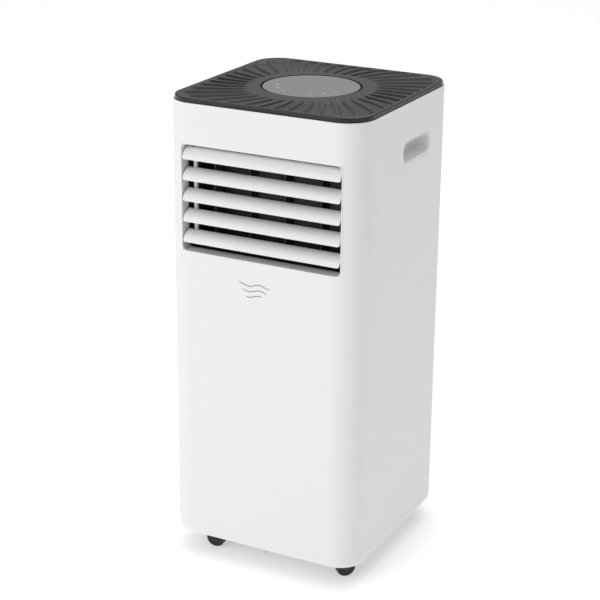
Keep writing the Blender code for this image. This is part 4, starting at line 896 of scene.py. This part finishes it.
def makeNet():
    low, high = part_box("filter_mesh")
    mesh = grown(emptyMesh(), netLines, **{
        "Width": high.x - low.x - 1 * mm, "Height": high.z - low.z - 1 * mm, "Thread Pitch": 1.6 * mm,
        "Thread": 0.4 * mm, "Middle": (low + high) / 2, "Material": netCloth})
    left, right, foot, head = low.x + 2 * mm, high.x - 2 * mm, low.z + 2 * mm, high.z - 2 * mm
    rim = [boxMesh(low, (left, high.y, high.z)), boxMesh((right, low.y, low.z), high),
           boxMesh((left, low.y, low.z), (right, high.y, foot)),
           boxMesh((left, low.y, head), (right, high.y, high.z))]
    piece("filter_net", together([mesh, *rim]), netCloth, "filter_mesh")


plug = {  # profiles in millimetres from the rear face
    "profile": ((0, -0.9), (4.6, -0.9), (5.2, -0.3), (7.6, -0.2), (8.3, -0.5), (8.5, -1.1), (8.5, -2.8),
                (4.5, -2.8), (4.5, -5), (4.3, -5.4), (4.5, -5.8), (4.5, -9.3), (3.9, -9.9), (0, -9.9)),
    "grommet": ((4.6, -0.2), (7.8, -0.2), (8.5, -0.9), (8.5, -2.8), (11.5, -2.8), (11.5, -5.5), (4, -5.5),
                (4, -0.8)),
    "rib": (4.4 * mm, 1.2 * mm, 0.9 * mm)}


def makePlugs():
    for node in ("drain_plug_upper", "drain_plug_lower", "cord_gland"):
        middle = sum(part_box(node), Vector()) / 2
        middle.y = rearY
        if node == "cord_gland":
            piece("cord_grommet", lathe(inMm(plug["grommet"]), middle, "Y", 48), rubber, node)
            continue
        wide, deep, tall = plug["rib"]
        rib = softened(boxMesh(middle - Vector((wide, deep, tall)), middle + Vector((wide, -0.2 * mm, tall))),
                       0.3 * mm)
        mesh = carved(lathe(inMm(plug["profile"]), middle, "Y", 48), ("+", rib))
        piece(node + "_moulded", mesh, rubber, node)


makeExhaustCollar()
makeFilter()
makeNet()
makePlugs()


print("stage: screws")
# copies a small solid onto points, each turned by its own angle
scatterCopies, given, add, calc, give = growTree(
    "scatterCopies", ("Copy", "Object"), ("Turn Spread", "Float", 1.5), ("Seed", "Int", 4))
turnBy = add("FunctionNodeRandomValue", {3: given["Turn Spread"], "Seed": given["Seed"]}, 1)
give(add("InstanceOnPoints", {"Points": given["Geometry"],
                              "Instance": add("ObjectInfo", {"Object": given["Copy"]}, "Geometry"),
                              "Rotation": add("ShaderNodeCombineXYZ", {1: turnBy})}))


def makeScrews():
    thin, long, deep = screw["cross"], screw["crossReach"], screw["crossDeep"]
    one = temporary(carved(lathe(inMm(screw["head"]), (0, 0, 0), "Y", 24),
                           ("-", boxMesh((-long, -deep, -thin), (long, 1 * mm, thin))),
                           ("-", boxMesh((-thin, -deep, -long), (thin, 1 * mm, long)))))
    points = bpy.data.meshes.new("points")
    points.from_pydata(screwPlaces(rearY - screw["sunk"]), [], [])
    mesh = grown(temporary(points), scatterCopies, **{"Copy": one, "Turn Spread": screw["turnSpread"],
                                                      "Seed": screw["seed"], "Material": turnedSteel})
    bpy.data.objects.remove(one)
    piece("rear_screws", mesh, turnedSteel, slotName="galvanised_steel")


print("stage: casters")
caster = {"turns": {"front_left": 5, "front_right": 45, "rear_left": -150, "rear_right": 120},
          "trail": 16 * mm, "radius": 14 * mm, "width": 13 * mm, "groove": 0.5 * mm, "top": 1.2 * mm,
          "sideRoom": 0.8 * mm, "sheet": 1.8 * mm, "stem": 4 * mm, "stemUp": 13.2 * mm, "axle": 2 * mm,
          "washer": ((0, 0), (10.4, 0), (11, -0.6), (11, -2.4), (10.4, -3), (0, -3))}  # in millimetres


def makeCasters():
    trail, radius, sheet = caster["trail"], caster["radius"], caster["sheet"]
    half = caster["width"] / 2
    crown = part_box("base_tray")[0].z - caster["top"]
    inner = half + caster["sideRoom"]
    outer = inner + sheet
    side = [(-9 * mm, crown - 1 * mm), (trail - 2 * mm, crown - 1 * mm), (trail + 5 * mm, radius + 3 * mm),
            *arcPoints(trail, radius, 4.5 * mm, 20, -160, 12), (-7 * mm, crown - 8 * mm)]
    cheeks = [softened(slab([side], *sorted((sign * inner, sign * outer)), "Y"), 0.4 * mm, 3)
              for sign in (-1, 1)]
    roof = softened(boxMesh((-8 * mm, sheet / 2 - outer, crown - 2.8 * mm),
                            (trail - 3 * mm, outer - sheet / 2, crown - 0.4 * mm)), 0.5 * mm)
    washer = lathe([(r, crown + z) for r, z in inMm(caster["washer"])], (0, 0, 0), "Z", 48)
    stem = rodMesh((0, 0, crown - 1 * mm), (0, 0, crown + caster["stemUp"]), caster["stem"], 32)
    past = outer + 0.8 * mm
    axle = rodMesh((trail, -past, radius), (trail, past, radius), caster["axle"])
    fork = carved(washer, ("+", roof), ("+", cheeks[0]), ("+", cheeks[1]), ("+", stem), ("+", axle),
                  solver="MANIFOLD")
    face = [(radius - 1.2 * mm, half), (radius - 0.35 * mm, half - 0.3 * mm), (radius, half - 1.2 * mm),
            (radius, 1.2 * mm), (radius - caster["groove"], 0.8 * mm)]
    hollow = [(radius - 3 * mm, -half), (radius - 3.4 * mm, 0.8 * mm - half), (5 * mm, 0.8 * mm - half),
              (4.4 * mm, -half), (2.4 * mm, -half)]
    tread = face + [(r, -y) for r, y in face[::-1]] + hollow + [(r, -y) for r, y in hollow[::-1]]
    wheel = lathe(tread, (0, 0, 0), "Y", 64)
    for name, degrees in caster["turns"].items():
        turn = Matrix.Rotation(math.radians(degrees), 4, "Z")
        stand = pivots[f"caster_{name}"].copy()
        stand.z = 0
        hub = stand + turn @ Vector((trail, 0, radius))
        piece(f"fork_{name}", placed(fork, Matrix.Translation(stand) @ turn), blackPlastic,
              f"caster_fork_{name}")
        piece(f"tyre_{name}", placed(wheel, Matrix.Translation(hub) @ turn), tyrePlastic,
              f"caster_wheel_{name}")


makeScrews()
makeCasters()


print("stage: inner parts")
for material, rounding, nodes in (
        (greyPlastic, 0.5, "base_tray drip_tray electronics_box"),
        (lightGreyPlastic, 0.4, "blower_scroll fan_scroll exhaust_duct slinger_wheel"),
        (galvanised, 0.15, "side_frame_left side_frame_right"),
        (galvanised, 0.8, "blower_motor fan_motor slinger_motor"),
        (turnedSteel, 0.3, "blower_shaft fan_shaft"),
        (enamel, 1.2, "compressor"), (finAluminium, 1.2, "capacitor"),
        (copperTube, 0.05, "discharge_pipe suction_pipe"),
        (rubber, 0.6, "compressor_mount_1 compressor_mount_2 compressor_mount_3"),
        (boardGreen, 0.2, "display_board main_board")):
    for node in nodes.split():
        refined(node, material, rounding * mm)

# a stack of thin fins, for the two coils
finStack, given, add, calc, give = growTree(
    "finStack", ("Fins", "Int", 100), ("Pitch", "Float", 0.002), ("Fin Size", "Vector", (0.0003, 0.026, 0.2)),
    ("Middle", "Vector", (0, 0, 0)))
firstX = calc("MULTIPLY", calc("MULTIPLY", calc("SUBTRACT", given["Fins"], 1.0), -0.5), given["Pitch"])
line = add("MeshLine", {"Count": given["Fins"], "Start Location": add("ShaderNodeCombineXYZ", {0: firstX}),
                        "Offset": add("ShaderNodeCombineXYZ", {0: given["Pitch"]})})
fin = add("MeshCube", {"Size": given["Fin Size"]})
give(add("Transform", {"Geometry": add("InstanceOnPoints", {"Points": line, "Instance": fin}),
                       "Translation": given["Middle"]}))
coil = {"rows": 10, "columns": 2, "tube": 3.5 * mm, "pitch": 1.8 * mm, "thin": 0.25 * mm, "endPlate": 1 * mm,
        "foot": {"evaporator": 8.5 * mm, "condenser": 20 * mm}}


def makeCoil(node):
    low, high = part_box(node)
    half, plate, tube = -low.x - 1 * mm, coil["endPlate"] / 2, coil["tube"]
    front, back = low.y + 1 * mm, high.y - 1 * mm
    bottom, top = low.z + coil["foot"][node], high.z - 2 * mm
    fins = grown(emptyMesh(), finStack, **{
        "Fins": int(2 * half / coil["pitch"]) - 1, "Pitch": coil["pitch"],
        "Fin Size": (coil["thin"], back - front, top - bottom),
        "Middle": (0, (front + back) / 2, (bottom + top) / 2), "Material": finAluminium})
    piece(node + "_fins", fins, finAluminium, node)
    metal = []
    for side in (-1, 1):
        metal.append(boxMesh((side * half - plate, low.y, bottom - 1 * mm),
                             (side * half + plate, high.y, top + 1 * mm)))
        x = side * half * 0.7
        metal.append(boxMesh((x - 5 * mm, front + 2 * mm, low.z), (x + 5 * mm, back - 2 * mm,
                                                                  bottom - 0.2 * mm)))
    piece(node + "_plates", together([softened(mesh, 0.2 * mm) for mesh in metal]), galvanised,
          slotName="galvanised_steel")
    tubes = []
    step = (top - bottom) / coil["rows"]
    for column in range(coil["columns"]):
        y = front + (column + 0.5) * (back - front) / coil["columns"]
        for row in range(0, coil["rows"], 2):
            z = bottom + (row + 0.5) * step
            bend = arcPoints(half + 1 * mm, z + step / 2, step / 2, -90, 90, 10)
            tubes.append(tubeMesh([(-half - 1 * mm, y, z)] + [(x, y, w) for x, w in bend]
                                  + [(-half - 1 * mm, y, z + step)], tube))
            if row + 2 < coil["rows"]:
                bend = arcPoints(-half - 1 * mm, z + step * 1.5, step / 2, 270, 90, 10)
                tubes.append(tubeMesh([(-half + 1 * mm, y, z + step)] + [(x, y, w) for x, w in bend]
                                      + [(-half + 1 * mm, y, z + 2 * step)], tube * 0.96))
    piece(node + "_tubes", together(tubes), copperTube, slotName="copper")


# blades round a wheel's axis
radialBlades, given, add, calc, give = growTree(
    "radialBlades", ("Blades", "Int", 36), ("Radius", "Float", 0.056),
    ("Blade Size", "Vector", (0.012, 0.001, 0.05)), ("Lean", "Float", 0.5))
circle = add("MeshCircle", {"Vertices": given["Blades"], "Radius": given["Radius"]})
along, across = [add("ShaderNodeSeparateXYZ", {0: add("InputPosition")}, axis) for axis in (0, 1)]
turned = add("ShaderNodeCombineXYZ", {2: calc("ADD", calc("ARCTAN2", across, along), given["Lean"])})
give(add("InstanceOnPoints", {"Points": circle, "Instance": add("MeshCube", {"Size": given["Blade Size"]}),
                              "Rotation": turned}))
wheel = {"blades": 40, "bladeIn": 7 * mm, "bladeSize": (12 * mm, 1 * mm), "endRoom": 3 * mm,
         "lean": math.radians(28), "rimWidth": 14 * mm, "rimThick": 2.5 * mm, "discThick": 2 * mm,
         "hub": ((10, 0), (4.3, 0), (4.3, 18), (9, 18), (10, 17), (12, 6), (20, 2))}


def makeWheel(node):
    low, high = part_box(node)
    x, z = pivots[bodyOf[node]].x, pivots[bodyOf[node]].z
    radius, width = high.x - x, high.y - low.y
    blades = grown(emptyMesh(), radialBlades, **{
        "Blades": wheel["blades"], "Radius": radius - wheel["bladeIn"],
        "Blade Size": (*wheel["bladeSize"], width - wheel["endRoom"]), "Lean": wheel["lean"],
        "Material": blackPlastic})
    blades.transform(Matrix.Translation((x, low.y + width / 2, z)) @ planes["Y"])
    disc = lathe([(radius, wheel["discThick"]), (radius, 0), *inMm(wheel["hub"])], (x, low.y, z), "Y", 64)
    inner, thick = radius - wheel["rimWidth"], -wheel["rimThick"]
    rim = lathe([(radius, 0), (radius, thick), (inner, thick), (inner, 0)], (x, high.y, z), "Y", 64)
    piece(node + "_rotor", together([disc, rim, blades]), blackPlastic, node)


makeCoil("evaporator")
makeCoil("condenser")
makeWheel("blower_wheel")
makeWheel("fan_wheel")


print("stage: mark")
mark = {"width": 50 * mm, "shares": (1, 0.78, 0.5), "pitch": 8 * mm, "line": 1.6 * mm, "wave": 1.8 * mm,
        "bend": 5 * mm, "middle": (-8 * mm, 424 * mm), "rise": 0.06 * mm, "deep": 0.3 * mm}
clip = {"left": 5 * mm, "right": 12 * mm, "near": 0.55, "far": 1.1, "drop": 4.5 * mm, "round": 0.6 * mm}


def makeMark():  # three plain wavy lines, for moving air
    shapes = []
    for index, share in enumerate(mark["shares"]):
        half = mark["width"] / 2 * share
        z = mark["middle"][1] - (index - 1) * mark["pitch"]
        upper, lower = [], []
        for along in [-1 + i / 30 for i in range(61)]:
            x = mark["middle"][0] + half * along
            middle = z + mark["wave"] * math.sin(along * half / mark["bend"])
            slim = mark["line"] / 2 * math.sqrt(max(1 - along**8, 0.02))
            upper.append((x, middle + slim))
            lower.append((x, middle - slim))
        shapes.append(slab([upper + lower[::-1]], frontY - mark["rise"], frontY + mark["deep"], "Y"))
    piece("front_mark", together(shapes), markInk, slotName="grey_plastic")


def makeFootTab():  # the small clip under the front edge
    near, far = [frontY + cover["tuck"] * clip[key] for key in ("near", "far")]
    tab = softened(boxMesh((clip["left"], near, frontBox[0].z - clip["drop"]),
                           (clip["right"], far, frontBox[0].z + 1 * mm)), clip["round"], 3)
    piece("front_clip", tab, lightGreyPlastic, slotName="light_grey_plastic")


makeMark()
makeFootTab()


print("stage: floor, light and camera")
studio = {"floor": 0.93, "floorRough": 0.8, "floorGlow": 0.4, "floorHalf": 8, "floorThick": 0.02,
          "world": 0.42, "seenWorld": 1.0}
lights = {  # place, target, size and power
    "keyLight": ((-1.6, -3.0, 1.9), (0, 0, 0.35), (2.2, 2.2), 44),
    "backLight": ((-1.8, 3.6, 4.2), (-1.2, 2.4, 0.0), (6.0, 3.0), 50),
    "topLight": ((0.2, 0.4, 3.0), (0, 0, 0.3), (2.5, 2.5), 20)}
view = {"lens": 101.489, "sensor": 36, "place": (1.0397, -2.0475, 1.2043),
        "right": (0.8875008, 0.46071507, 0.00916289), "up": (-0.16585808, 0.30082342, 0.93914661),
        "back": (0.42992258, -0.83501311, 0.34339435)}


def makeFloor():
    material = bpy.data.materials.new("paleFloor")
    material.use_nodes = True
    wire(material.node_tree.nodes["Principled BSDF"],
         {"Base Color": (*[studio["floor"]] * 3, 1), "Roughness": studio["floorRough"],
          "Emission Color": (1, 1, 1, 1), "Emission Strength": studio["floorGlow"]})
    half = studio["floorHalf"]
    mesh = boxMesh((-half, -half, -studio["floorThick"]), (half, half, 0))
    mesh.materials.append(material)
    floor = bpy.data.objects.new("floor", mesh)
    bpy.context.scene.collection.objects.link(floor)


def areaLight(name, place, target, size, power):
    data = bpy.data.lights.new(name, "AREA")
    data.shape = "RECTANGLE"
    data.size, data.size_y = size
    data.energy = power
    item = bpy.data.objects.new(name, data)
    bpy.context.scene.collection.objects.link(item)
    item.location = place
    item.rotation_euler = (Vector(target) - Vector(place)).to_track_quat("-Z", "Y").to_euler()


def makeWorld():  # full strength behind the object, less on it
    world = bpy.data.worlds.new("studio")
    bpy.context.scene.world = world
    world.use_nodes = True
    tree = world.node_tree
    seen = addNode(tree, "ShaderNodeLightPath", {}).outputs["Is Camera Ray"]
    strength = addNode(tree, "ShaderNodeMapRange", {"Value": seen, "To Min": studio["world"],
                                                    "To Max": studio["seenWorld"]})
    wire(tree.nodes["Background"], {"Strength": strength.outputs[0], "Color": (1, 1, 1, 1)})


def makeCamera():
    data = bpy.data.cameras.new("camera")
    data.lens = view["lens"]
    data.sensor_width = view["sensor"]
    camera = bpy.data.objects.new("camera", data)
    bpy.context.scene.collection.objects.link(camera)
    turn = Matrix((view["right"], view["up"], view["back"])).transposed().to_4x4()
    camera.matrix_world = Matrix.Translation(view["place"]) @ turn
    bpy.context.scene.camera = camera


makeFloor()
makeWorld()
makeCamera()
for name, values in lights.items():
    areaLight(name, *values)
bpy.context.scene.view_settings.view_transform = "Standard"
